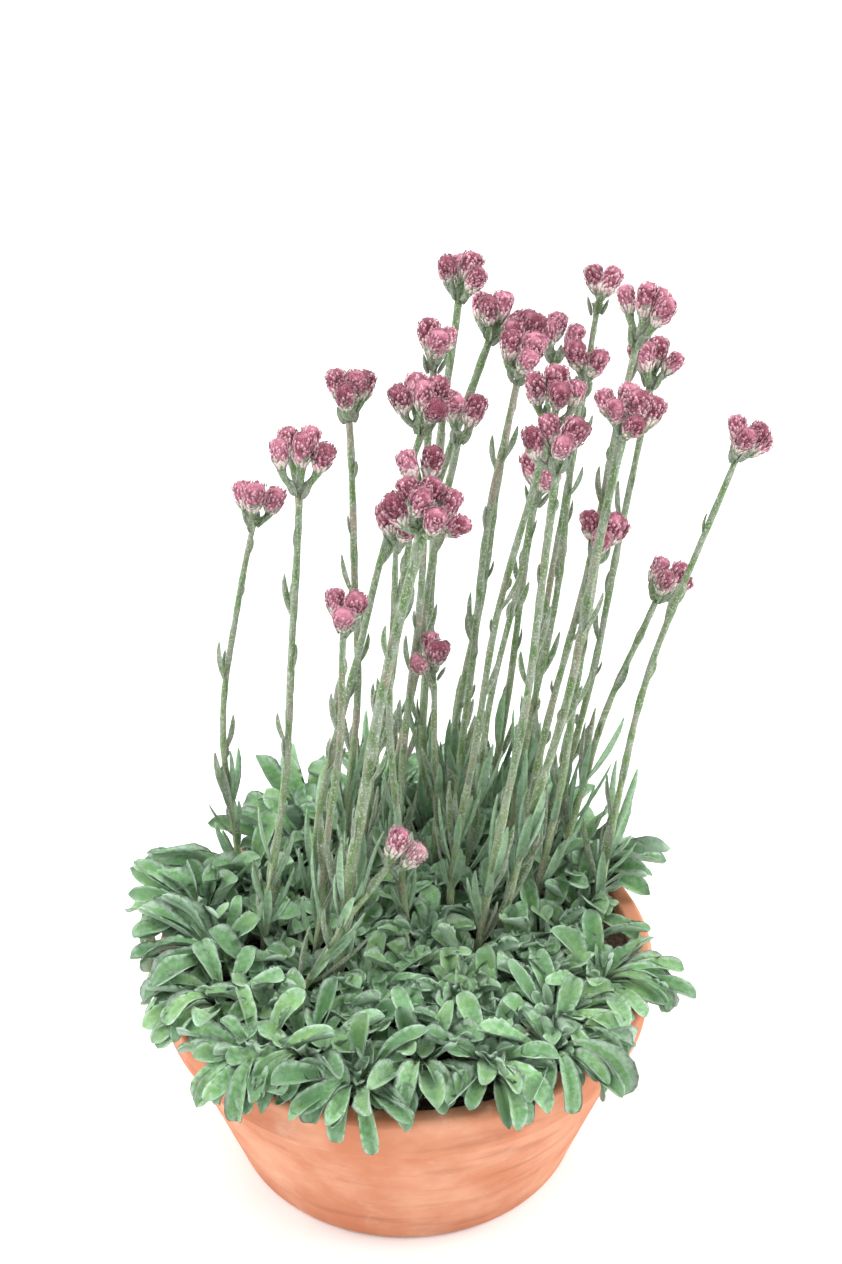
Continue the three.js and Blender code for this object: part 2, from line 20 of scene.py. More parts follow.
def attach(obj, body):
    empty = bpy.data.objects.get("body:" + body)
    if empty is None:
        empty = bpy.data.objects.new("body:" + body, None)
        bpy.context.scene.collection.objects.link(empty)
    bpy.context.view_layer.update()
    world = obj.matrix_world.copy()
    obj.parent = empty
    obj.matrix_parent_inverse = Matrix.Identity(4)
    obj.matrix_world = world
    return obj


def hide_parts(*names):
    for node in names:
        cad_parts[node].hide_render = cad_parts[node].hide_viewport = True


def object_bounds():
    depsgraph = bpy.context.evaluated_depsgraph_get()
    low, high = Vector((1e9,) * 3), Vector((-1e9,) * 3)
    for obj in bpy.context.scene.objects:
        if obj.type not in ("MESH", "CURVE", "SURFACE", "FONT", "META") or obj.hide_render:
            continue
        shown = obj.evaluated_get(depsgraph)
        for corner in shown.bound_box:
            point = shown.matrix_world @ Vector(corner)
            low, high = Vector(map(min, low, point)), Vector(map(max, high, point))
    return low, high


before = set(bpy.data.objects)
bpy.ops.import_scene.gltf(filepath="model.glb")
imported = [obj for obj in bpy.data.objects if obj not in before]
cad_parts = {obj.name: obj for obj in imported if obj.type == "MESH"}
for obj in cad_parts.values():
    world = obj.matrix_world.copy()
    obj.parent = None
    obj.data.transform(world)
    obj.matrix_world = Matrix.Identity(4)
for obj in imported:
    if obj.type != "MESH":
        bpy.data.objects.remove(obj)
START_BOUNDS = [list(corner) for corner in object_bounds()]

LOG = logging.getLogger("pussytoes")
MM = 0.001
TAU = 2 * math.pi
GOLDEN_ANGLE = math.pi * (3 - math.sqrt(5))
WORD = 0xFFFFFFFF
DRAW_STEP = 0x6D2B79F5
Vec = np.ndarray
Colour = tuple[float, float, float]


# Layout shared with the solids


class Draws:
    """A seeded source of numbers from 0 to 1, the same one that placed the solids."""

    def __init__(self, seed: int) -> None:
        """Starts the source.

        Args:
            seed: Any whole number.
        """
        self.state = seed & WORD

    def __call__(self) -> float:
        """Draws the next number.

        Returns:
            A number from 0 up to 1.
        """
        self.state = (self.state + DRAW_STEP) & WORD
        t = self.state
        t = ((t ^ (t >> 15)) * (t | 1)) & WORD
        t ^= (t + (((t ^ (t >> 7)) * (t | 61)) & WORD)) & WORD
        return ((t ^ (t >> 14)) & WORD) / (WORD + 1)

    def between(self, low: float, high: float) -> float:
        """Draws a number between two limits."""
        return low + (high - low) * self()


def vec(x: float, y: float, z: float) -> Vec:
    """Makes a vector."""
    return np.array([x, y, z], float)


def unit(v: Vec) -> Vec:
    """Gives a vector, or each row of vectors, the length 1."""
    return v / np.maximum(np.linalg.norm(v, axis=-1, keepdims=True), 1e-12)


def frame_across(direction: Vec) -> tuple[Vec, Vec]:
    """Finds two directions square to a direction.

    Args:
        direction: A unit vector.

    Returns:
        The direction across and the one up from it.
    """
    helper = vec(1, 0, 0) if abs(direction[2]) > 0.9 else vec(0, 0, 1)
    across = unit(np.cross(helper, direction))
    return across, np.cross(direction, across)


def around(across: Vec, up: Vec, turn: float | Vec) -> Vec:
    """Turns from a direction across towards the one up from it."""
    return across * np.cos(turn) + up * np.sin(turn)


def turned(v: Vec, axis: Vec, angle: float) -> Vec:
    """Turns a vector about a unit axis.

    Args:
        v: The vector.
        axis: The unit axis.
        angle: The angle in radians.

    Returns:
        The turned vector.
    """
    rise = axis * (axis @ v)
    return v * math.cos(angle) + np.cross(axis, v) * math.sin(angle) + rise * (1 - math.cos(angle))


@dataclass(frozen=True)
class PotSize:
    """The clay pot's sizes in millimetres."""

    height: float = 66
    base_radius: float = 51
    rim_radius: float = 72
    rim_height: float = 15
    rim_step: float = 2.2
    wall: float = 3.6
    floor: float = 5
    edge: float = 1.2
    drains: int = 4
    drain_radius: float = 4.5
    drain_circle: float = 26
    soil_level: float = 64

    def inside(self, z: float) -> float:
        """Gives the radius of the pot's inside.

        Args:
            z: The height over the ground.

        Returns:
            The radius at that height.
        """
        top = self.rim_radius - self.rim_step - self.wall
        foot = self.base_radius - self.wall
        return foot + (top - foot) * (z - self.floor) / (self.height - self.floor)


POT = PotSize()
SEAT_GAP = 0.3
COLLAR_HEIGHT = 2.6


@dataclass
class FlowerStem:
    """A flowering stem's line and the heads that it carries."""

    index: int
    foot_xy: tuple[int, int]
    top_xyz: tuple[int, int, int]
    bow: float
    heads: int
    stalk: float
    stout: float
    seed: int = 911
    leaf_every: int = 48
    leaf_from: float = 21
    head_width: float = 6.8
    head_middle: float = 4.34
    knob_middle: float = 0.88
    head_spread: float = 0.65
    foot: Vec = field(init=False)
    top: Vec = field(init=False)

    def __post_init__(self) -> None:
        """Draws the stem's small irregularities in the order in which the solids drew them."""
        draws = Draws(self.seed + self.index)
        self.foot = vec(*self.foot_xy, POT.soil_level + COLLAR_HEIGHT)
        self.top = vec(self.top_xyz[0], self.top_xyz[1], POT.soil_level + self.top_xyz[2])
        self.foot_radius = 1.3 * self.stout
        self.top_radius = 0.95 * self.stout
        self.kink = draws.between(0.4, 1.1)
        self.phase = TAU * draws()
        self.roll = TAU * draws()
        self.first_side = math.floor(4 * draws())
        leaves = max(1, self.top_xyz[2] // self.leaf_every)
        self.leaf_draws = [draws() for _ in range(leaves)]

    def at(self, share: float | Vec) -> Vec:
        """Finds the stem's centre.

        Args:
            share: One or many shares of the way up, from 0 where it clears its hole to 1 at its top.

        Returns:
            A point, or a row for each share.
        """
        s = np.asarray(share, float)
        lean = s**1.25
        arch = np.sin(math.pi * s)
        sway = self.kink * arch
        span = self.top - self.foot
        x = self.foot[0] + span[0] * lean + self.bow * arch + sway * np.sin(9 * s + self.phase)
        y = self.foot[1] + span[1] * lean + sway * np.cos(8 * s + self.phase)
        return np.stack([x, y, self.foot[2] + span[2] * s], axis=-1)

    def at_rise(self, rise: float | Vec) -> Vec:
        """Finds the stem's centre at one or many heights over the soil."""
        return self.at(np.clip((rise - COLLAR_HEIGHT) / (self.top[2] - self.foot[2]), 0, 1))

    def heading(self, share: float) -> Vec:
        """Finds the direction of growth at a share of the way up."""
        low, high = max(0.0, share - 0.02), min(1.0, share + 0.02)
        return unit(self.at(high) - self.at(low))

    def radius_at(self, share: float | Vec) -> float | Vec:
        """Gives the stem's radius at a share of the way up."""
        return self.foot_radius + (self.top_radius - self.foot_radius) * share

    def middle(self) -> Vec:
        """Finds the point in the knob from which the heads' stalks spread."""
        return self.top + self.heading(1) * self.knob_middle

    def head_directions(self) -> list[Vec]:
        """Finds the direction in which each head stands.

        Returns:
            A unit vector for each head.
        """
        axis = self.heading(1)
        reach = self.stalk + self.head_middle
        apart = 2 * math.asin(self.head_width / (2 * reach))
        across, up = frame_across(axis)
        first = around(across, up, self.roll)
        found = []
        for k in range(self.heads):
            opening = 2 * math.asin(apart / 2 * self.head_spread * math.sqrt(k + 0.5))
            side = turned(first, axis, k * GOLDEN_ANGLE)
            found.append(unit(axis * math.cos(opening) + side * math.sin(opening)))
        return found


# Where each foot stands and each top ends, the bow, the heads, the length of their stalks and the stoutness.
FLOWER_STEMS = (
    ((-49, 31), (-42, 40, 121), -6, 3, 5, 0.9),
    ((-41, -4), (-27, 6, 151), 3, 5, 9, 1),
    ((-20, 30), (-15, 44, 152), 4, 4, 6, 1),
    ((-28, 18), (5, 34, 154), -2, 7, 7, 1),
    ((-6, 42), (15, 56, 139), 0, 2, 5, 1),
    ((-14, 8), (4, 19, 144), 0, 2, 4, 0.9),
    ((-19, -16), (5, -10, 149), -1, 8, 6, 1.45),
    ((-26, -7), (-16, 0, 112), 2, 3, 4, 1),
    ((8, 30), (8, 31, 77), 1, 3, 4, 0.9),
    ((-30, -23), (-4, -16, 46), 1, 2, 3, 0.9),
    ((6, 50), (15, 67, 177), -3, 4, 5, 1.1),
    ((-3, 26), (8, 47, 166), 1, 3, 5, 1),
    ((-12, 52), (24, 79, 159), -4, 4, 5, 1.2),
    ((12, 54), (33, 68, 159), 0, 3, 5, 1),
    ((16, 38), (31, 51, 161), -3, 3, 5, 1),
    ((24, 50), (42, 76, 154), 2, 3, 5, 1),
    ((30, 38), (49, 62, 151), 3, 2, 6, 1),
    ((13, 11), (39, 27, 159), -2, 4, 7, 1),
    ((21, -2), (40, 11, 155), 3, 5, 6, 1.1),
    ((17, 24), (36, 41, 128), 0, 3, 5, 0.9),
    ((34, 46), (54, 80, 167), 0, 2, 5, 0.9),
    ((32, 25), (63, 51, 172), 2, 4, 8, 1),
    ((42, 37), (69, 68, 150), 3, 4, 5, 1),
    ((28, 7), (57, 16, 162), 4, 7, 6, 1.2),
    ((38, 15), (53, 29, 117), 2, 4, 5, 1),
    ((46, 28), (73, 54, 88), -2, 4, 4, 1),
    ((57, 14), (92, 49, 137), -4, 4, 4, 1),
    ((1, 3), (-2, 6, 135), -3, 2, 4, 0.9),
)


@dataclass
class MatLeaf:
    """A spoon-shaped leaf of the mat: an arched line with a blade on it.

    Azimuth, pitch and length may be columns of numbers, which makes it many shapes at once.
    """

    root: Vec
    azimuth: float | Vec
    pitch: float | Vec
    bend: float
    length: float | Vec
    width: float
    roll: float = 0.0
    cup: float = 0.1
    neck: float = 0.22
    widest: float = 0.68
    blunt: float = 0.36

    def half_width(self, share: Vec) -> Vec:
        """Gives half the width of the solid's blade.

        Args:
            share: Shares of the length, from 0 at the root.

        Returns:
            Half the width at each.
        """
        slim = self.neck + (1 - self.neck) * share / self.widest
        round_end = np.sqrt(np.maximum(0, 1 - ((share - self.widest) / self.blunt) ** 2))
        return self.width / 2 * np.where(share < self.widest, slim, round_end)

    def drawn_half_width(self, share: Vec) -> Vec:
        """Gives half the width of the finished blade, slimmer in the neck and rounder at the tip.

        Args:
            share: Shares of the length, from 0 at the root.

        Returns:
            Half the width at each.
        """
        widest, end = self.widest + 0.07, 1.045
        slim = self.neck + (1 - self.neck) * smooth(0.06, widest, share) ** 1.1
        past = np.clip((share - widest) / (end - widest), 0, 1)
        return self.width / 2 * np.where(share < widest, slim, (1 - past**2.5) ** 0.45)

    def frame_at(self, share: Vec) -> tuple[Vec, Vec, Vec]:
        """Finds the blade's frame at shares of its length.

        Args:
            share: Shares of the length, from 0 at the root.

        Returns:
            The centres, the directions of the left margin and the directions in which the face looks.
        """
        slope = self.pitch - self.bend * share
        run = self.length * (np.sin(self.pitch) - np.sin(slope)) / self.bend
        rise = self.length * (np.cos(slope) - np.cos(self.pitch)) / self.bend
        level = np.zeros_like(self.azimuth)
        out = np.stack([np.cos(self.azimuth), np.sin(self.azimuth), level], -1)
        flat = np.stack([-np.sin(self.azimuth), np.cos(self.azimuth), level], -1)
        up = vec(0, 0, 1)
        centre = self.root + run[..., None] * out + rise[..., None] * up
        tangent = np.cos(slope)[..., None] * out + np.sin(slope)[..., None] * up
        turn = (self.roll * share)[..., None]
        side = flat * np.cos(turn) + np.cross(tangent, flat) * np.sin(turn)
        return centre, side, np.cross(tangent, side)

    def samples(self) -> Vec:
        """Spreads points over the blade, for telling how near it comes to something.

        Returns:
            The points.
        """
        share = np.arange(2, 11) / 10
        across = np.array([-1, -0.5, 0, 0.5, 1])[:, None]
        centre, side, face = (part[..., None, :] for part in self.frame_at(share))
        half = self.half_width(share)[:, None, None]
        points = centre + side * across * half + face * self.cup * half * np.abs(across)
        return points.reshape(*points.shape[:-3], -1, 3)

    def middle(self) -> Vec:
        """Finds the middle of the blade."""
        return self.frame_at(np.array([0.6]))[0][..., 0, :]

    def shape(self, index: int) -> "MatLeaf":
        """Takes one leaf out of many shapes."""
        one = {name: float(getattr(self, name)[index, 0]) for name in ("azimuth", "pitch", "length")}
        return replace(self, **one)


@dataclass
class Rosette:
    """A rosette of the mat: where its crown stands and how many leaves it carries."""

    centre: Vec
    spin: float
    edge_from: float = 50

    def __post_init__(self) -> None:
        """Works out the way it faces."""
        self.outward = math.atan2(self.centre[1], self.centre[0])
        self.edge = math.hypot(self.centre[0], self.centre[1]) > self.edge_from
        self.count = 6 if self.edge else 5
        self.turn = self.outward if self.edge else self.spin

    def face_angle(self, index: float) -> float:
        """Gives the direction of a face of the crown."""
        return self.turn + index * TAU / self.count

    def beside(self, angle: float, reach: float, above: float) -> Vec:
        """Finds a point beside and above the centre."""
        return self.centre + vec(reach * math.cos(angle), reach * math.sin(angle), above)


@dataclass
class MatLayout:
    """Where the mat's rosettes and leaves grow, by the rule that placed the solids."""

    stems: Sequence[FlowerStem]
    seed: int = 2207
    count: int = 55
    field_radius: float = 62.4
    crown_radius: float = 3.0
    turns: Sequence[float] = (0, 0.22, -0.22, 0.44, -0.44)
    lifts: Sequence[float] = (0, 0.2, -0.2, 0.4, -0.4)
    shares: Sequence[float] = (1, 0.85, 0.7)
    edge_lengths: tuple[float, float] = (20, 27)
    inner_lengths: tuple[float, float] = (17, 24)
    crown_reach: float = 1.9
    pushes: int = 6
    foot_gap: float = 0.8
    stem_gap: float = 1.3
    leaf_gap: float = 1.25
    rim_gap: float = 2.3
    neighbour: float = 26
    rosettes: list[Rosette] = field(default_factory=list)
    leaves: list[MatLeaf] = field(default_factory=list)
    spare: list[MatLeaf] = field(default_factory=list)

    def __post_init__(self) -> None:
        """Grows the mat."""
        self.set_rosettes()
        self.grow()

    def set_rosettes(self) -> None:
        """Sets the rosettes on a spiral, each pushed clear of the stems."""
        draws = Draws(self.seed)
        feet = [(stem, stem.at_rise(rise)) for stem in self.stems for rise in (0, 5)]
        for k in range(self.count):
            reach = self.field_radius * math.sqrt((k + 0.5) / self.count)
            angle = k * GOLDEN_ANGLE + 0.2 * (draws() - 0.5)
            centre = vec(reach * math.cos(angle), reach * math.sin(angle), POT.soil_level + SEAT_GAP)
            for _ in range(self.pushes):
                for stem, foot in feet:
                    away = (centre - foot) * vec(1, 1, 0)
                    far = float(np.linalg.norm(away))
                    room = self.crown_radius + stem.foot_radius + self.foot_gap - far
                    if room > 0:
                        centre = centre + away / far * room
            inside = self.field_radius / max(self.field_radius, math.hypot(centre[0], centre[1]))
            self.rosettes.append(Rosette(centre * vec(inside, inside, 1), TAU * draws()))

    def clear(self, points: Vec, rim_gap: float | None = None) -> Vec:
        """Tells which sets of points are clear of the pot's rim, the soil and every stem.

        Args:
            points: Sets of points, a set to each row.
            rim_gap: How near they may come to rim and soil, if not as near as the solids' leaves.

        Returns:
            True for each clear set.
        """
        radius = np.hypot(points[..., 0], points[..., 1])
        height = points[..., 2]
        gap = self.rim_gap if rim_gap is None else rim_gap
        inner = radius <= POT.inside(POT.soil_level) - gap
        floor = np.where(inner, POT.soil_level, POT.height) + gap
        free = np.all((radius > POT.rim_radius + gap) | (height > floor), axis=-1)
        for stem in self.stems:
            away = (stem.at_rise(height - POT.soil_level) - points)[..., :2]
            room = np.hypot(away[..., 0], away[..., 1]) - stem.foot_radius
            free = free & np.all(room > self.stem_gap, axis=-1)
        return free

    def trials(self, rosette: Rosette, index: int, drawn: Sequence[float]) -> MatLeaf:
        """Lists the shapes that one leaf may take, the likeliest first.

        Args:
            rosette: The rosette.
            index: The leaf's place in it.
            drawn: Six random numbers.

        Returns:
            A leaf of many shapes.
        """
        face = rosette.face_angle(index)
        facing = math.cos(face - rosette.outward)
        behind = max(0.0, math.sin(rosette.outward))
        slope = 0.75 - 0.35 * facing + 0.2 * behind if rosette.edge else 0.9
        droop = 0.5 * max(0.0, facing) if rosette.edge else 0.0
        low, high = self.edge_lengths if rosette.edge else self.inner_lengths
        grid = np.meshgrid(self.shares, self.lifts, self.turns, indexing="ij")
        share, lift, turn = (part.reshape(-1, 1) for part in grid)
        return MatLeaf(
            root=rosette.beside(face, self.crown_reach, 2 + 0.45 * (index % 3)),
            azimuth=face + 0.3 * (drawn[0] - 0.5) + turn,
            pitch=slope + 0.3 * (drawn[1] - 0.5) + lift,
            bend=0.3 + 0.5 * drawn[2] + droop,
            length=share * (low + (high - low) * drawn[3]),
            width=6.4 + 1.8 * drawn[4],
            roll=0.6 * (drawn[5] - 0.5),
        )

    def grow(self) -> None:
        """Grows the leaves from the mat's edge inwards.

        The first trial that is clear of everything is a leaf of the solid. One that is clear of pot and stems
        alone is kept to fill the gaps.
        """
        draws = Draws(self.seed + 1)
        grown: list[Vec] = []
        middles: list[Vec] = []
        for rosette in reversed(self.rosettes):
            for index in range(rosette.count):
                many = self.trials(rosette, index, [draws() for _ in range(6)])
                points = many.samples()
                middle = many.middle()
                possible = np.flatnonzero(self.clear(points))
                for trial in possible:
                    here = middle[trial]
                    near = [g for g, m in zip(grown, middles) if math.dist(m, here) <= self.neighbour]
                    if self.roomy(points[trial], near):
                        grown.append(points[trial])
                        middles.append(here)
                        self.leaves.append(many.shape(trial))
                        break
                else:
                    if len(possible):
                        self.spare.append(many.shape(possible[0]))

    def roomy(self, points: Vec, near: Sequence[Vec]) -> bool:
        """Tells whether a leaf keeps clear of those grown before.

        Args:
            points: The leaf's points.
            near: The points of each leaf near it.

        Returns:
            Whether it does.
        """
        if not near:
            return True
        others = np.concatenate(near)
        squares = (points**2).sum(-1)[:, None] + (others**2).sum(-1) - 2 * points @ others.T
        return bool(squares.min() > self.leaf_gap**2)


# Meshes


class MeshDraft:
    """Closed surfaces gathered for one mesh, with the values that its finishes read."""

    VALUES = ("tone", "along", "edge", "under", "age")

    def __init__(self) -> None:
        """Starts with nothing."""
        self.points: list[Vec] = []
        self.faces: list[Vec] = []
        self.finish: list[Vec] = []
        self.values: dict[str, list[Vec]] = {name: [] for name in self.VALUES}
        self.count = 0

    def add(self, points: Vec, faces: Vec, finish: int | Vec = 0, **values: float | Vec) -> None:
        """Adds triangles.

        Args:
            points: Points in millimetres.
            faces: Three point numbers for each triangle.
            finish: The number of the finish, or one for each triangle.
            values: Values of the points, 0 where none is given.
        """
        points = points.reshape(-1, 3)
        self.points.append(points)
        self.faces.append(faces + self.count)
        self.finish.append(np.broadcast_to(finish, len(faces)))
        for name in self.VALUES:
            value = np.asarray(values.get(name, 0.0), float)
            self.values[name].append(np.broadcast_to(value.reshape(-1) if value.ndim else value, len(points)))
        self.count += len(points)

    def place(self, other: "MeshDraft", turn: Vec, offset: Vec, **values: float) -> None:
        """Adds a copy of another draft.

        Args:
            other: The draft to copy.
            turn: The rows are the directions that its x, y and z take.
            offset: Where its origin goes.
            values: Values added to the copy's own.
        """
        own = {name: np.concatenate(other.values[name]) + values.get(name, 0.0) for name in self.VALUES}
        points = np.concatenate(other.points) @ turn + offset
        self.add(points, np.concatenate(other.faces), np.concatenate(other.finish), **own)

    def make(
        self, name: str, finishes: Sequence[bpy.types.Material], crease: float = 180
    ) -> bpy.types.Object:
        """Makes the object.

        Args:
            name: Its name.
            finishes: The finishes in the order of their numbers.
            crease: Edges that turn more than these degrees stay sharp.

        Returns:
            The object.
        """
        faces = np.concatenate(self.faces)
        mesh = bpy.data.meshes.new(name)
        mesh.from_pydata(np.concatenate(self.points) * MM, [], faces)
        mesh.polygons.foreach_set("material_index", np.concatenate(self.finish).astype(np.int32))
        mesh.polygons.foreach_set("use_smooth", np.ones(len(faces), bool))
        for value, parts in self.values.items():
            mesh.attributes.new(value, "FLOAT", "POINT").data.foreach_set("value", np.concatenate(parts))
        for finish in finishes:
            mesh.materials.append(finish)
        if crease < 180:
            mesh.set_sharp_from_angle(angle=math.radians(crease))
        mesh.update()
        made = bpy.data.objects.new(name, mesh)
        bpy.context.scene.collection.objects.link(made)
        return made


def wall_faces(rings: int, sides: int) -> Vec:
    """Lists the triangles between rings of points.

    Args:
        rings: How many rings there are.
        sides: How many points each has, counter-clockwise about the way forward.

    Returns:
        Three point numbers for each triangle.
    """
    i, j = (part.ravel() for part in np.meshgrid(np.arange(rings - 1), np.arange(sides), indexing="ij"))
    a, b = i * sides + j, i * sides + (j + 1) % sides
    return np.concatenate([np.stack([a, b, b + sides], -1), np.stack([a, b + sides, a + sides], -1)])


def loft_faces(rings: int, sides: int) -> Vec:
    """Lists the triangles of a loft whose two end centres follow its rings.

    Args:
        rings: How many rings there are.
        sides: How many points each has, counter-clockwise about the way forward.

    Returns:
        Three point numbers for each triangle.
    """
    k = np.arange(sides)
    beside, top = (k + 1) % sides, (rings - 1) * sides
    first = np.stack([np.full(sides, rings * sides), beside, k], -1)
    last = np.stack([np.full(sides, rings * sides + 1), top + k, top + beside], -1)
    return np.concatenate([wall_faces(rings, sides), first, last])


def loft(
    draft: MeshDraft, rings: Vec, finish: int = 0, ends: tuple[Vec, Vec] | None = None, **values: Any
) -> None:
    """Adds a closed loft.

    Args:
        draft: Where it goes.
        rings: The rings of points, rings by sides by 3.
        finish: The number of the finish.
        ends: The points that close it, or the middles of its end rings.
        values: Values for each ring, for each point of the rings, or for all of it.
    """
    count, sides = rings.shape[:2]
    first, last = ends if ends else (rings[0].mean(0), rings[-1].mean(0))
    spread = {}
    for name, value in values.items():
        value = np.asarray(value, float)
        column = value[:, None] if value.ndim == 1 else value
        grid = np.broadcast_to(column, (count, sides))
        spread[name] = np.concatenate([grid.ravel(), [grid[0].mean(), grid[-1].mean()]])
    points = np.concatenate([rings.reshape(-1, 3), [first, last]])
    draft.add(points, loft_faces(count, sides), finish, **spread)


def rails(line: Vec) -> tuple[Vec, Vec]:
    """Finds directions across and up for the points of a line, without a twist.

    Args:
        line: The points.

    Returns:
        The two directions at each point.
    """
    tangent = unit(np.gradient(line, axis=0))
    helper = np.eye(3)[np.argmin(np.abs(tangent).sum(0))]
    across = unit(np.cross(helper, tangent))
    return across, np.cross(tangent, across)


def circle(sides: int, turn: float = 0) -> Vec:
    """Gives the points of a unit circle."""
    angle = turn + np.arange(sides) * TAU / sides
    return np.stack([np.cos(angle), np.sin(angle)], -1)


def turned_rings(radii: Vec, heights: Vec, sides: int, turn: float = 0) -> Vec:
    """Turns a profile about the z axis.

    Args:
        radii: The radius of each ring, or of each of its points.
        heights: The height of each ring, or of each of its points.
        sides: How many points a ring has.
        turn: The direction of a ring's first point.

    Returns:
        The rings of points.
    """
    rings = np.empty((len(heights), sides, 3))
    rings[..., :2] = np.reshape(radii, (len(heights), -1, 1)) * circle(sides, turn)
    rings[..., 2] = np.reshape(heights, (len(heights), -1))
    return rings


def tube(
    draft: MeshDraft, line: Vec, radius: Vec | float, sides: int, finish: int = 0, **values: Any
) -> None:
    """Adds a round tube along a line.

    Args:
        draft: Where it goes.
        line: Its middle line.
        radius: Its radius, one for all or one for each point, or rings by sides.
        sides: How many sides it has.
        finish: The number of the finish.
        values: Values as for a loft.
    """
    across, up = rails(line)
    radius = np.asarray(radius, float)
    grid = np.broadcast_to(radius[:, None] if radius.ndim == 1 else radius, (len(line), sides))[..., None]
    ring = circle(sides)
    spokes = across[:, None] * ring[:, :1] + up[:, None] * ring[:, 1:]
    loft(draft, line[:, None] + spokes * grid, finish, **values)


def spikes(
    draft: MeshDraft,
    roots: Vec,
    directions: Vec,
    lengths: Vec | float,
    width: float,
    finish: int,
    **values: Any,
) -> None:
    """Adds hairs, each a slender closed spike.

    Args:
        draft: Where they go.
        roots: The points that they grow from.
        directions: The ways that they point.
        lengths: Their lengths.
        width: Their thickness at the root.
        finish: The number of the finish.
        values: Values for each hair, or for all.
    """
    forward = unit(directions)
    helper = np.where(np.abs(forward[:, 2:]) > 0.9, vec(1, 0, 0), vec(0, 0, 1))
    across = unit(np.cross(helper, forward))
    up = np.cross(forward, across)
    ring = circle(3) * width / 2
    base = roots[:, None] + across[:, None] * ring[:, :1] + up[:, None] * ring[:, 1:]
    tip = roots + forward * np.broadcast_to(lengths, len(roots))[:, None]
    points = np.concatenate([base, tip[:, None]], 1)
    faces = np.array([[0, 2, 1], [0, 1, 3], [1, 2, 3], [2, 0, 3]])
    many = (faces + 4 * np.arange(len(roots))[:, None, None]).reshape(-1, 3)
    spread = {name: np.repeat(np.broadcast_to(value, len(roots)), 4) for name, value in values.items()}
    spread["along"] = np.tile([0.0, 0, 0, 1], len(roots))
    draft.add(points, many, finish, **spread)


def smooth(low: float, high: float, value: Vec) -> Vec:
    """Rises from 0 to 1 between two values, smoothly."""
    share = np.clip((value - low) / (high - low), 0, 1)
    return share * share * (3 - 2 * share)


# Finishes


def screen(red: int, green: int, blue: int) -> Colour:
    """Turns a colour as a screen shows it, 0 to 255, into light."""
    shares = (red / 255, green / 255, blue / 255)
    return tuple(s / 12.92 if s <= 0.04045 else ((s + 0.055) / 1.055) ** 2.4 for s in shares)


class Term:
    """The value of a socket. Sums and products of it add their Math nodes."""

    def __init__(self, paint: "Paint", socket: bpy.types.NodeSocket | None) -> None:
        """Holds a socket of a finish."""
        self.paint = paint
        self.socket = socket

    def maths(self, operation: str, *values: Any) -> "Term":
        """Adds a Math node that works on these values."""
        return self.paint.node("ShaderNodeMath", {"operation": operation}, dict(enumerate(values)))

    def __add__(self, other: Any) -> "Term":
        """Adds."""
        return self.maths("ADD", self, other)

    def __mul__(self, other: Any) -> "Term":
        """Multiplies."""
        return self.maths("MULTIPLY", self, other)

    __radd__ = __add__
    __rmul__ = __mul__

    def rise(self, low: float, high: float, top: float = 1) -> "Term":
        """Rises smoothly from 0 between two values, or falls to 0 if the first is the larger.

        Args:
            low: Where it is 0.
            high: Where it reaches the top.
            top: How high it rises.

        Returns:
            The result.
        """
        start, end, left, right = (low, high, 0, top) if low < high else (high, low, top, 0)
        names = {"From Min": start, "From Max": end, "To Min": left, "To Max": right}
        return self.paint.node(
            "ShaderNodeMapRange", {"interpolation_type": "SMOOTHSTEP"}, {"Value": self, **names}
        )


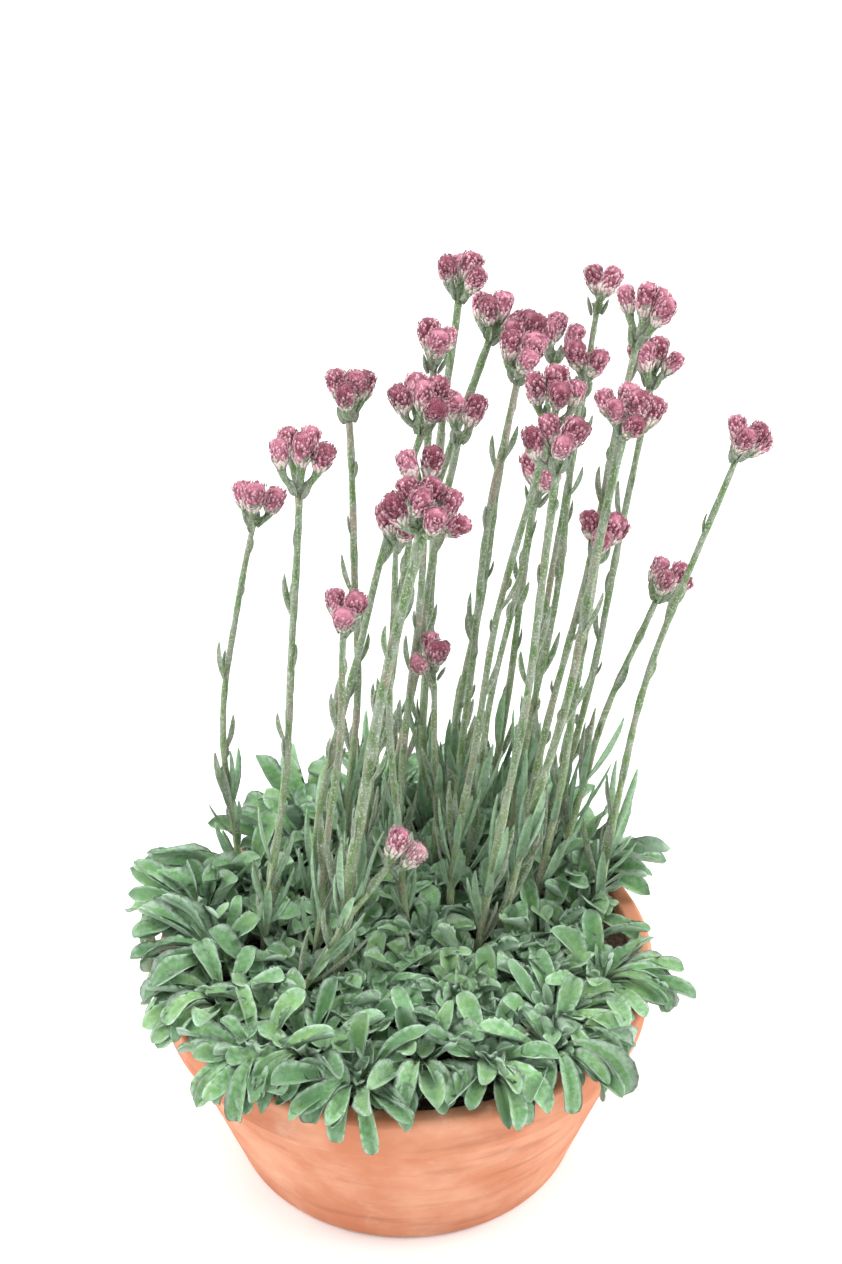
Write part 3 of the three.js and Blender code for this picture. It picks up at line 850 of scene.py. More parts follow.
class Paint:
    """Builds the nodes of one finish."""

    def __init__(self, name: str) -> None:
        """Starts an empty finish.

        Args:
            name: The finish's name.
        """
        self.material = bpy.data.materials.new(name)
        self.material.use_nodes = True
        self.tree = self.material.node_tree
        self.tree.nodes.clear()

    def node(
        self, kind: str, settings: dict[str, Any], inputs: dict[str | int, Any], output: str | int = 0
    ) -> Term:
        """Adds a node.

        Args:
            kind: Its type.
            settings: Its settings, set before its sockets; stops are a ramp's places and colours.
            inputs: Values or terms for its sockets.
            output: The socket to give back.

        Returns:
            The node's output.
        """
        made = self.tree.nodes.new(kind)
        for name, value in settings.items():
            if name == "stops":
                ramp = made.color_ramp.elements
                for place, _ in value[2:]:
                    ramp.new(place)
                for stop, (place, colour) in zip(ramp, value):
                    stop.position, stop.color = place, (*colour, 1)
            else:
                setattr(made, name, value)
        for name, value in inputs.items():
            socket = made.inputs[name]
            if isinstance(value, Term):
                self.tree.links.new(value.socket, socket)
            elif isinstance(value, tuple) and len(value) == 3 and socket.type == "RGBA":
                socket.default_value = (*value, 1)
            else:
                socket.default_value = value
        return Term(self, made.outputs[output] if made.outputs else None)

    def value(self, name: str) -> Term:
        """Reads a value of the mesh's points."""
        return self.node("ShaderNodeAttribute", {"attribute_name": name}, {}, "Fac")

    def place(self, stretch: Colour = (1, 1, 1)) -> Term:
        """Gives the place on the object in millimetres.

        Args:
            stretch: How many times finer a pattern is along x, y and z.

        Returns:
            The place.
        """
        coordinates = self.node("ShaderNodeTexCoord", {}, {}, "Object")
        scale = tuple(1000 * part for part in stretch)
        return self.node("ShaderNodeVectorMath", {"operation": "MULTIPLY"}, {0: coordinates, 1: scale})

    def noise(self, place: Term, grain: float, detail: float = 3, rough: float = 0.55) -> Term:
        """Adds noise whose lumps are about so many millimetres."""
        inputs = {"Vector": place, "Scale": 1 / grain, "Detail": detail, "Roughness": rough}
        return self.node("ShaderNodeTexNoise", {}, inputs)

    def mix(self, factor: Term | float, first: Term | Colour, second: Term | Colour) -> Term:
        """Mixes two colours."""
        return self.node("ShaderNodeMix", {"data_type": "RGBA"}, {0: factor, 6: first, 7: second}, 2)

    def surface(
        self, colour: Term, roughness: Term | float, height: Term, depth: float, **fixed: Any
    ) -> None:
        """Ends the finish in a shader.

        Args:
            colour: Its colour.
            roughness: Its roughness.
            height: Its small relief, from 0 to 1.
            depth: How deep that relief is, in millimetres.
            fixed: Other sockets of the shader, with _ for a space.
        """
        bump = self.node("ShaderNodeBump", {}, {"Strength": 1.0, "Distance": depth * MM, "Height": height})
        inputs = {name.replace("_", " "): value for name, value in fixed.items()}
        shader = self.node(
            "ShaderNodeBsdfPrincipled",
            {},
            {"Base Color": colour, "Roughness": roughness, "Normal": bump, **inputs},
        )
        self.node("ShaderNodeOutputMaterial", {}, {"Surface": shader})


@dataclass(frozen=True)
class ClayFinish:
    """Fired clay: warm, matt, faintly clouded, with a little lime bloom and fine grit."""

    name: str = "fired_clay"
    warm: Colour = screen(188, 120, 88)
    pale: Colour = screen(206, 150, 120)
    dark: Colour = screen(152, 92, 68)
    bloom: Colour = screen(224, 204, 188)

    def material(self) -> bpy.types.Material:
        """Builds the finish.

        Returns:
            The material.
        """
        paint = Paint(self.name)
        place = paint.place()
        cloud = paint.noise(place, 24, 4)
        streak = paint.noise(paint.place((1, 1, 7)), 40, 3)
        grit = paint.noise(place, 0.9, 4, 0.7)
        colour = paint.mix(cloud.rise(0.35, 0.7), self.warm, self.pale)
        colour = paint.mix(streak.rise(0.5, 0.75, 0.45), colour, self.dark)
        colour = paint.mix(grit.rise(0.62, 0.74, 0.4), colour, self.dark)
        lime = paint.noise(place, 13, 5, 0.7).rise(0.54, 0.75, 0.5) * (0.35 + 0.65 * paint.value("edge"))
        colour = paint.mix(lime, colour, self.bloom)
        relief = grit + 0.6 * paint.noise(place, 3)
        paint.surface(colour, 0.82 + 0.14 * cloud, relief, 0.12, Specular_IOR_Level=0.3)
        return paint.material


@dataclass(frozen=True)
class SoilFinish:
    """Damp potting soil, or the grit in it."""

    name: str = "potting_soil"
    dark: Colour = screen(38, 30, 24)
    brown: Colour = screen(84, 66, 50)
    grit: Colour = screen(176, 168, 152)

    def material(self) -> bpy.types.Material:
        """Builds the finish.

        Returns:
            The material.
        """
        paint = Paint(self.name)
        place = paint.place()
        crumb = paint.noise(place, 1.6, 4, 0.7)
        colour = paint.mix(crumb.rise(0.35, 0.7), self.dark, self.brown)
        colour = paint.mix(paint.value("tone").rise(0.93, 0.97), colour, self.grit)
        paint.surface(colour, 0.9, crumb, 0.7, Specular_IOR_Level=0.25)
        return paint.material


@dataclass(frozen=True)
class FeltFinish:
    """Green leaf under a pale felt of fine wool, whiter at the margins and beneath, yellower at the root,
    with painted shade near black on its lowest part.
    """

    name: str = "leaf_felt"
    deep: Colour = screen(56, 114, 48)
    green: Colour = screen(102, 164, 82)
    lime: Colour = screen(132, 172, 82)
    wool: Colour = screen(178, 206, 182)
    root: Colour = screen(150, 168, 84)
    old: Colour = screen(150, 122, 92)
    # Painted shade: near black, laid where leaves and crowns lie deep in the mat.
    painted_root_shade: Colour = screen(40, 56, 32)
    wool_share: float = 0.08

    def material(self) -> bpy.types.Material:
        """Builds the finish.

        Returns:
            The material.
        """
        paint = Paint(self.name)
        place = paint.place()
        tone, edge, along = paint.value("tone"), paint.value("edge"), paint.value("along")
        under, age = paint.value("under"), paint.value("age")
        cloud = paint.noise(place, 5, 3)
        fibre = paint.noise(paint.place((1, 1, 2.4)), 0.32, 4, 0.75)
        colour = paint.mix((0.6 * tone + 0.8 * cloud).rise(0.3, 1.05), self.deep, self.green)
        colour = paint.mix(paint.noise(place, 14, 2).rise(0.45, 0.65, 0.55), colour, self.lime)
        colour = paint.mix(along.rise(0.42, 0.05, 0.6), colour, self.root)
        rib = edge.rise(0.3, 0.02, 0.55) * along.rise(1.0, 0.6)
        colour = paint.mix(rib, colour, self.deep)
        drift = paint.noise(place, 1.6, 3)
        patch = drift.rise(0.36, 0.64, 0.5)
        rim = edge.rise(0.6, 1.0) * drift.rise(0.25, 0.65) * 0.75 + along.rise(0.85, 1.0, 0.2)
        felt = self.wool_share + rim + fibre.rise(0.48, 0.72, 0.36) + patch * (0.15 + 0.75 * tone)
        colour = paint.mix(felt + 0.4 * under + age.rise(0.35, 0.05, 0.35), colour, self.wool)
        colour = paint.mix(age.rise(0.72, 1.0, 0.85), colour, self.old)
        # Painted shade: the lowest part of each leaf turns near black, standing in for the shade deep in the
        # mat.
        colour = paint.mix(along.rise(0.3, 0.0, 0.85), colour, self.painted_root_shade)
        relief = fibre + 0.9 * paint.noise(place, 1.3)
        paint.surface(colour, 0.78 + 0.16 * fibre, relief, 0.32, Sheen_Weight=0.3, Specular_IOR_Level=0.25)
        return paint.material


@dataclass(frozen=True)
class WoolFinish:
    """Fine hairs, pale and matt."""

    name: str = "fine_wool"
    root: Colour = screen(170, 190, 160)
    tip: Colour = screen(226, 230, 220)

    def material(self) -> bpy.types.Material:
        """Builds the finish.

        Returns:
            The material.
        """
        paint = Paint(self.name)
        colour = paint.mix(paint.value("along"), self.root, self.tip)
        paint.surface(colour, 0.9, paint.noise(paint.place(), 0.5), 0.05, Specular_IOR_Level=0.2)
        return paint.material


@dataclass(frozen=True)
class StalkFinish:
    """A woolly stem: grey-green, yellower at its foot and paler there as painted light against the shade,
    with patches of pink and fine lengthwise strands.
    """

    name: str = "stem_wool"
    green: Colour = screen(86, 116, 62)
    grey: Colour = screen(130, 140, 122)
    # The foot's own yellow-green, made paler as painted light that lifts the shade among the stems' bases.
    foot: Colour = screen(160, 182, 122)
    pink: Colour = screen(150, 130, 120)
    wool: Colour = screen(196, 206, 190)

    def material(self) -> bpy.types.Material:
        """Builds the finish.

        Returns:
            The material.
        """
        paint = Paint(self.name)
        place = paint.place()
        along, tone, edge = paint.value("along"), paint.value("tone"), paint.value("edge")
        cloud = paint.noise(paint.place((1, 1, 0.35)), 2.2, 4)
        strand = paint.noise(paint.place((1, 1, 0.16)), 0.35, 4, 0.7)
        speck = paint.noise(place, 0.62, 3, 0.8)
        colour = paint.mix(cloud.rise(0.38, 0.62), self.green, self.grey)
        # Partly real colour, partly painted light: the stem's lower part takes the pale foot colour against
        # the shade there.
        low = along.rise(0.55, 0.05, 0.75) * (0.35 + 0.7 * cloud)
        colour = paint.mix(low, colour, self.foot)
        blush = paint.noise(paint.place((1, 1, 0.3)), 4.5, 2).rise(0.5, 0.68, 0.7)
        colour = paint.mix(blush * (0.25 + 0.75 * tone), colour, self.pink)
        wool = strand.rise(0.5, 0.72, 0.4) + speck.rise(0.54, 0.64, 0.75) + 0.35 * edge.rise(0.6, 1.0)
        colour = paint.mix(wool, colour, self.wool)
        paint.surface(colour, 0.8, strand + 0.8 * speck, 0.3, Sheen_Weight=0.2, Specular_IOR_Level=0.25)
        return paint.material


@dataclass(frozen=True)
class BudFinish:
    """The heads' papery scales: crimson to rose, paler towards their tips, white and green below."""

    name: str = "rosy_scales"
    crimson: Colour = screen(112, 34, 56)
    rose: Colour = screen(196, 124, 146)
    pink: Colour = screen(230, 184, 196)
    white: Colour = screen(216, 198, 194)
    green: Colour = screen(164, 180, 142)

    def material(self) -> bpy.types.Material:
        """Builds the finish.

        Returns:
            The material.
        """
        paint = Paint(self.name)
        place = paint.place()
        tone, along, age, edge = (paint.value(name) for name in ("tone", "along", "age", "edge"))
        cloud = paint.noise(place, 2.6, 3)
        speck = paint.noise(place, 0.22, 3, 0.8)
        colour = paint.mix((tone * 0.7 + cloud * 2.0).rise(0.85, 1.6), self.crimson, self.rose)
        tips = (along.rise(0.45, 1.0) + edge.rise(0.5, 1.0, 0.4)) * (0.25 + 0.65 * tone)
        colour = paint.mix(tips, colour, self.pink)
        colour = paint.mix(speck.rise(0.52, 0.7, 0.5), colour, self.pink)
        colour = paint.mix(age.rise(0.25, 0.75), colour, self.white)
        colour = paint.mix(age.rise(0.8, 1.2) * along.rise(0.7, 0.2), colour, self.green)
        paint.surface(colour, 0.62 + 0.2 * speck, speck, 0.12, Sheen_Weight=0.15, Specular_IOR_Level=0.35)
        return paint.material


@dataclass(frozen=True)
class FloorFinish:
    """The plain pale floor."""

    name: str = "pale_floor"
    light: Colour = (0.92, 0.92, 0.92)
    dull: Colour = (0.9016, 0.9016, 0.9016)

    def material(self) -> bpy.types.Material:
        """Builds the finish.

        Returns:
            The material.
        """
        paint = Paint(self.name)
        cloud = paint.noise(paint.place(), 30)
        colour = paint.mix(cloud, self.light, self.dull)
        paint.surface(colour, 0.9, cloud, 0.02, Specular_IOR_Level=0.1)
        return paint.material


class Slot(Enum):
    """The record's material slots."""

    CLAY = "terracotta"
    SOIL = "soil"
    LEAF = "leaf"
    STEM = "stem"
    BLOOM = "bloom"


class Finishes:
    """Every finish, made once."""

    def __init__(self) -> None:
        """Makes them."""
        self.clay = ClayFinish().material()
        self.soil = SoilFinish().material()
        self.felt = FeltFinish().material()
        self.wool = WoolFinish().material()
        self.stalk = StalkFinish().material()
        self.bud = BudFinish().material()
        self.floor = FloorFinish().material()


def settle(piece: bpy.types.Object, slot: Slot, *nodes: str) -> None:
    """Puts a piece on the body, hides the solids that it replaces, and reports it.

    Args:
        piece: The piece.
        slot: The record's slot that its finish belongs to; not used.
        nodes: The solids that it stands for.
    """
    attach(piece, "root")
    if nodes:
        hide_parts(*nodes)
    LOG.info("%s: %d triangles", piece.name, len(piece.data.polygons))


# Pot and soil


@dataclass
class ClayPot:
    """The shallow clay pot, turned from a rounded profile, with drain holes in its floor."""

    size: PotSize = POT
    sides: int = 144
    drain_sides: int = 32
    step: float = 2.2
    ripple: float = 0.07
    worn: float = 9
    crease: float = 50

    def profile(self) -> Vec:
        """Draws the wall's profile from the foot's edge, up the outside, over the rim and down the inside.

        Returns:
            Radius and height of each point.
        """
        s = self.size
        rim_foot = s.height - s.rim_height
        corners = [
            (s.base_radius - s.edge, 0.0, 0.0),
            (s.base_radius, s.edge, 0.8),
            (s.rim_radius - s.rim_step - s.edge, rim_foot, 0.6),
            (s.rim_radius - s.edge, rim_foot + s.edge / 2, 0.9),
            (s.rim_radius, s.height - s.edge, 1.1),
            (s.rim_radius - s.edge, s.height, 1.1),
            (s.rim_radius - s.rim_step - s.wall, s.height, 0.9),
            (s.base_radius - s.wall, s.floor, 0.0),
        ]
        points: list[Vec] = []
        for k, (radius, height, round_by) in enumerate(corners):
            here = np.array([radius, height])
            if not round_by:
                points.append(here)
                continue
            before = np.array(corners[k - 1][:2]) - here
            after = np.array(corners[k + 1][:2]) - here
            cut = min(round_by, 0.45 * np.linalg.norm(before), 0.45 * np.linalg.norm(after))
            start, end = here + unit(before) * cut, here + unit(after) * cut
            for t in (0, 0.33, 0.67, 1):
                points.append((1 - t) ** 2 * start + 2 * t * (1 - t) * here + t * t * end)
        fine = [points[0]]
        for a, b in zip(points, points[1:]):
            steps = max(1, round(float(np.linalg.norm(b - a)) / self.step))
            fine += [a + (b - a) * k / steps for k in range(1, steps + 1)]
        return np.array(fine)

    def drains(self) -> list[Vec]:
        """Finds the middles of the drain holes."""
        return [spot * self.size.drain_circle for spot in circle(self.size.drains, TAU / 8)]

    def plate(self, radius: float, height: float, facing_up: bool) -> tuple[Vec, Vec]:
        """Cuts a disc with the drain holes in it.

        Args:
            radius: The disc's radius.
            height: How high it lies.
            facing_up: Whether its face looks up.

        Returns:
            Its points, the outer circle first and then each hole's, and its triangles.
        """
        s = self.size
        drains = self.drains()
        holes = [centre + circle(self.drain_sides) * s.drain_radius for centre in drains]
        loops = [circle(self.sides) * radius, *holes]
        flat = np.concatenate(loops)
        edges, start = [], 0
        for loop in loops:
            edges += [(start + k, start + (k + 1) % len(loop)) for k in range(len(loop))]
            start += len(loop)
        points, _, found, *_ = delaunay_2d_cdt([tuple(p) for p in flat], edges, [], 1, 1e-5)
        points = np.array([tuple(p) for p in points])
        faces = np.array(found)
        middle = points[faces].mean(1)
        kept = np.all([np.linalg.norm(middle - d, axis=1) > s.drain_radius * 0.98 for d in drains], axis=0)
        faces = faces[kept]
        a, b, c = (points[faces[:, k]] for k in range(3))
        area = (b[:, 0] - a[:, 0]) * (c[:, 1] - a[:, 1]) - (b[:, 1] - a[:, 1]) * (c[:, 0] - a[:, 0])
        wrong = (area < 0) == facing_up
        faces[wrong] = faces[wrong][:, ::-1]
        return np.column_stack([points, np.full(len(points), height)]), faces

    def build(self, finishes: Finishes) -> None:
        """Builds the pot.

        Args:
            finishes: The finishes.
        """
        s = self.size
        radii, heights = self.profile().T
        angle = np.arange(self.sides) * TAU / self.sides
        outside = (heights > 3) & (heights < s.height - 2)
        swell = np.sin(2 * angle + 0.7) * 0.14 + np.sin(3 * angle + 2.1) * 0.09
        turning = self.ripple * np.sin(heights * 1.9 + 0.8 * np.sin(heights * 0.37))
        radius = radii[:, None] + outside[:, None] * (swell + turning[:, None] - 0.22)
        worn = np.repeat(smooth(s.height - self.worn, s.height, heights), self.sides)
        draft = MeshDraft()
        walls = turned_rings(radius, heights, self.sides)
        draft.add(walls, wall_faces(len(heights), self.sides), edge=worn)
        draft.add(*self.plate(s.base_radius - s.edge, 0, False))
        draft.add(*self.plate(s.base_radius - s.wall, s.floor, True))
        hole = turned_rings(np.full(2, s.drain_radius), np.array([0, s.floor]), self.drain_sides)
        for x, y in self.drains():
            draft.add(hole + vec(x, y, 0), wall_faces(2, self.drain_sides)[:, ::-1])
        pot = draft.make("clay_pot", [finishes.clay], self.crease)
        weld(pot)
        settle(pot, Slot.CLAY, "pot")


def weld(piece: bpy.types.Object) -> None:
    """Joins the points of a piece that lie on each other.

    Args:
        piece: The piece.
    """
    shape = bmesh.new()
    shape.from_mesh(piece.data)
    bmesh.ops.remove_doubles(shape, verts=shape.verts, dist=1e-6)
    shape.to_mesh(piece.data)
    shape.free()


@dataclass
class PottingSoil:
    """The soil: a plug with a crumbly top, loose crumbs and a little grit."""

    seed: int = 77
    sides: int = 96
    foot: float = 5.3
    wall_gap: float = 0.6
    rings: int = 34
    unevenness: tuple[float, float] = (-0.55, 0.1)
    crumbs: int = 620
    crumb_size: tuple[float, float] = (0.5, 1.25)

    def build(self, finishes: Finishes) -> None:
        """Builds the soil.

        Args:
            finishes: The finishes.
        """
        draws = np.random.default_rng(self.seed)
        top = POT.inside(POT.soil_level) - self.wall_gap
        reach = np.concatenate([np.linspace(1.2, top, self.rings), [POT.inside(self.foot) - self.wall_gap]])
        level = POT.soil_level + draws.uniform(*self.unevenness, (len(reach), self.sides))
        level[-1] = self.foot
        draft = MeshDraft()
        loft(draft, turned_rings(reach, level, self.sides)[::-1], tone=0.2)
        lump = lump_shape()
        for _ in range(self.crumbs):
            far, angle = top * math.sqrt(draws.random()) * 0.97, TAU * draws.random()
            size = draws.uniform(*self.crumb_size)
            turn = np.linalg.qr(draws.normal(size=(3, 3)))[0]
            turn *= np.sign(np.linalg.det(turn)) * size * draws.uniform(0.7, 1.0, (3, 1))
            spot = vec(far * math.cos(angle), far * math.sin(angle), POT.soil_level + 0.15 * size)
            draft.place(lump, turn, spot, tone=draws.random())
        settle(draft.make("potting_soil", [finishes.soil]), Slot.SOIL, "soil")


def lump_shape() -> MeshDraft:
    """Makes a small uneven lump, one millimetre across.

    Returns:
        A draft of 20 triangles.
    """
    shape = bmesh.new()
    bmesh.ops.create_icosphere(shape, subdivisions=1, radius=0.5)
    points = np.array([v.co[:] for v in shape.verts])
    faces = np.array([[v.index for v in f.verts] for f in shape.faces])
    shape.free()
    points *= 1 + 0.35 * np.sin(points @ vec(9, 5, 7) * 3)[:, None]
    draft = MeshDraft()
    draft.add(points, faces)
    return draft


# Leaves


@dataclass(frozen=True)
class BladeSection:
    """How a leaf is shaped across: its groove, thickness and keel in millimetres, and its points."""

    groove: float = 0.32
    thick: float = 0.5
    keel: float = 0.3
    top: int = 7
    below: int = 5

    def across(self) -> Vec:
        """Lists places round the section: over the face from left to right, then back beneath.

        Returns:
            The places, from -1 to 1.
        """
        over = np.linspace(1, -1, self.top)
        over = np.sign(over) * (1 - (1 - np.abs(over)) ** 2.2)
        beneath = np.linspace(-1, 1, self.below + 2)[1:-1]
        return np.concatenate([over, beneath])

    def outline(self, half: Vec, cup: float, fold: float = 0) -> tuple[Vec, Vec]:
        """Draws the section for each half width.

        Args:
            half: The half widths.
            cup: How far the margins rise, as a share of the half width.
            fold: How much of that is a straight fold along the middle.

        Returns:
            Offsets to the side and to the face, rings by points.
        """
        a = self.across()
        is_top = np.arange(len(a)) < self.top
        wide = half[:, None]
        bowl = cup * wide * ((1 - fold) * a**2 * (1 + 0.4 * a**2) + fold * 1.2 * np.abs(a))
        crease = np.exp(-((a / 0.22) ** 2)) * np.minimum(1, wide / 1.5)
        body = self.thick * np.sqrt(np.maximum(0, 1 - a**2)) * np.minimum(1, 0.35 + wide / 3)
        return a * wide, bowl - np.where(is_top, self.groove * crease, body + self.keel * crease)


class Stations(Enum):
    """Shares of a leaf's length at which it has rings: more on the leaves that show most."""

    FINE = (0, 0.1, 0.22, 0.34, 0.46, 0.57, 0.67, 0.76, 0.84, 0.905, 0.955, 0.99, 1.018, 1.036)
    MEDIUM = (0, 0.16, 0.34, 0.5, 0.64, 0.76, 0.87, 0.95, 1.0, 1.033)
    COARSE = (0, 0.22, 0.44, 0.64, 0.8, 0.92, 0.99, 1.03)


class Foliage:
    """Draws leaves into a mesh and remembers where wool can grow on them."""

    def __init__(self, seed: int, section: BladeSection) -> None:
        """Starts with no leaf.

        Args:
            seed: The seed of the small irregularities.
            section: How the leaves are shaped across.
        """
        self.draft = MeshDraft()
        self.draws = np.random.default_rng(seed)
        self.section = section
        self.wool: list[tuple[Vec, Vec]] = []

    def add(self, leaf: MatLeaf, tone: float, age: float, stations: Stations, hairs: int) -> None:
        """Draws a leaf.

        Args:
            leaf: The leaf.
            tone: How light its green is, 0 to 1.
            age: From 0, young, to 1, withered.
            stations: Where its rings are.
            hairs: How many hairs each margin bears.
        """
        share = np.array(stations.value)
        random = self.draws.random(8)
        rolled = replace(leaf, roll=leaf.roll + 0.9 * (random[5] - 0.5))
        centre, side, face = rolled.frame_at(share)
        wave = 1 + 0.05 * np.sin(9 * share + TAU * random[0])
        half = np.maximum(leaf.drawn_half_width(share) * wave, 0.12)
        sideways, upwards = self.section.outline(half, 0.1 + 0.95 * random[3] ** 1.3, float(random[6] ** 2))
        a = self.section.across()
        twist = 0.12 * np.sin((6 + 5 * random[7]) * share + TAU * random[1])[:, None] * np.sign(a)
        wavy = 0.08 * np.cos((8 + 4 * random[1]) * share + TAU * random[7])[:, None]
        frill = leaf.width * np.abs(a) ** 2.5 * (twist + wavy)
        ease = leaf.length / 20 * float(np.clip(2.2 - leaf.bend, 0.12, 1))
        hook = ease * (5.0 * random[2] ** 2 - 1.0) * smooth(0.5, 1.04, share)[:, None] ** 1.3
        lift = upwards + frill * smooth(0.3, 0.8, share)[:, None] - hook
        sideways = sideways + (random[4] - 0.5) * 0.12 * leaf.length * share[:, None] ** 2
        rings = centre[:, None] + side[:, None] * sideways[..., None] + face[:, None] * lift[..., None]
        tip = rings[-1].mean(0) + (centre[-1] - centre[-2])
        grid = np.ones((len(share), 1))
        loft(
            self.draft,
            rings,
            ends=(rings[0].mean(0), tip),
            tone=tone,
            age=age,
            along=np.minimum(share, 1),
            edge=grid * np.abs(a),
            under=grid * (np.arange(len(a)) >= self.section.top),
        )
        if hairs:
            self.grow_wool(rings, side, hairs)

    def add_narrow(self, centre: Vec, side: Vec, half: Vec, cup: float, finish: int, **values: Any) -> Vec:
        """Draws a narrow leaf along a line.

        Args:
            centre: The points of its middle line.
            side: The direction of its right margin.
            half: Half its width at each point.
            cup: How far its margins rise, as a share of that.
            finish: The number of its finish.
            values: Values for its finish.

        Returns:
            Its rings.
        """
        sideways, upwards = self.section.outline(half, cup)
        face = np.cross(unit(np.gradient(centre, axis=0)), -side)
        rings = centre[:, None] - side * sideways[..., None] + face[:, None] * upwards[..., None]
        edge = np.ones((len(centre), 1)) * np.abs(self.section.across())
        loft(self.draft, rings, finish, edge=edge, **values)
        return rings

    def grow_wool(self, rings: Vec, side: Vec, hairs: int) -> None:
        """Chooses where wool stands on a leaf's margins.

        Args:
            rings: The leaf's rings.
            side: The directions of the left margin.
            hairs: How many hairs each margin bears.
        """
        for column, lean in ((0, 1), (self.section.top - 1, -1)):
            spots = self.draws.integers(len(rings) // 4, len(rings) - 1, hairs)
            part = self.draws.random((hairs, 1))
            here, before = rings[spots, column], rings[spots - 1, column]
            out = lean * side[spots] + 0.7 * unit(here - before) + self.draws.normal(0, 0.45, (hairs, 3))
            self.wool.append((here * (1 - part) + before * part, out))


class Zone(Enum):
    """Where a kind of leaf grows, and how far round from a rosette's outward side it may point."""

    ANYWHERE = math.pi
    RIM = 1.1
    OVER_RIM = 0.55
    BACK = 1.7
    FAR_RIM = 1.0


@dataclass(frozen=True)
class Growth:
    """A kind of leaf that fills the mat: how many a rosette bears, and the limits of their shape."""

    count: int
    start: tuple[float, float]
    pitch: tuple[float, float]
    bend: tuple[float, float]
    length: tuple[float, float]
    width: tuple[float, float]
    age: tuple[float, float]
    roll: float = 0.45
    zone: Zone = Zone.ANYWHERE


# For each kind: how many, where it starts beside and above the rosette's centre, the limits of pitch, bend,
# length, width and age, and how far it may roll.
LOW_LEAVES = Growth(4, (2, 1.6), (0.42, 0.75), (0.35, 0.8), (12, 18), (4.8, 6.4), (0.5, 0.72), 0.8)
RIM_LEAVES = Growth(8, (2.2, 2.4), (0.35, 0.95), (0.7, 1.5), (14, 23), (5.0, 6.8), (0.5, 0.7), 0.8, Zone.RIM)
HANGING_LEAVES = Growth(
    3, (2.2, 4.6), (0.7, 1.2), (1.9, 3.0), (19, 27), (5, 6.8), (0.5, 0.7), 0.4, Zone.OVER_RIM
)
BACK_LEAVES = Growth(
    5, (1.6, 3.4), (0.9, 1.4), (0.3, 1.1), (16, 25), (5.2, 7.2), (0.35, 0.6), 0.9, Zone.BACK
)
OUTER_LEAVES = Growth(
    3, (2.2, 3.6), (0.5, 0.95), (0.2, 0.7), (23, 30), (5.8, 7.4), (0.4, 0.6), 0.8, Zone.FAR_RIM
)
INNER_LEAVES = Growth(7, (1.5, 3.0), (0.7, 1.2), (0.3, 1.0), (9, 15), (4.2, 6.0), (0.3, 0.6), 0.9)
HEART_LEAVES = Growth(5, (0.9, 3.6), (1.05, 1.45), (0.2, 0.6), (6, 10), (2.8, 4.2), (0.05, 0.25), 0.4)


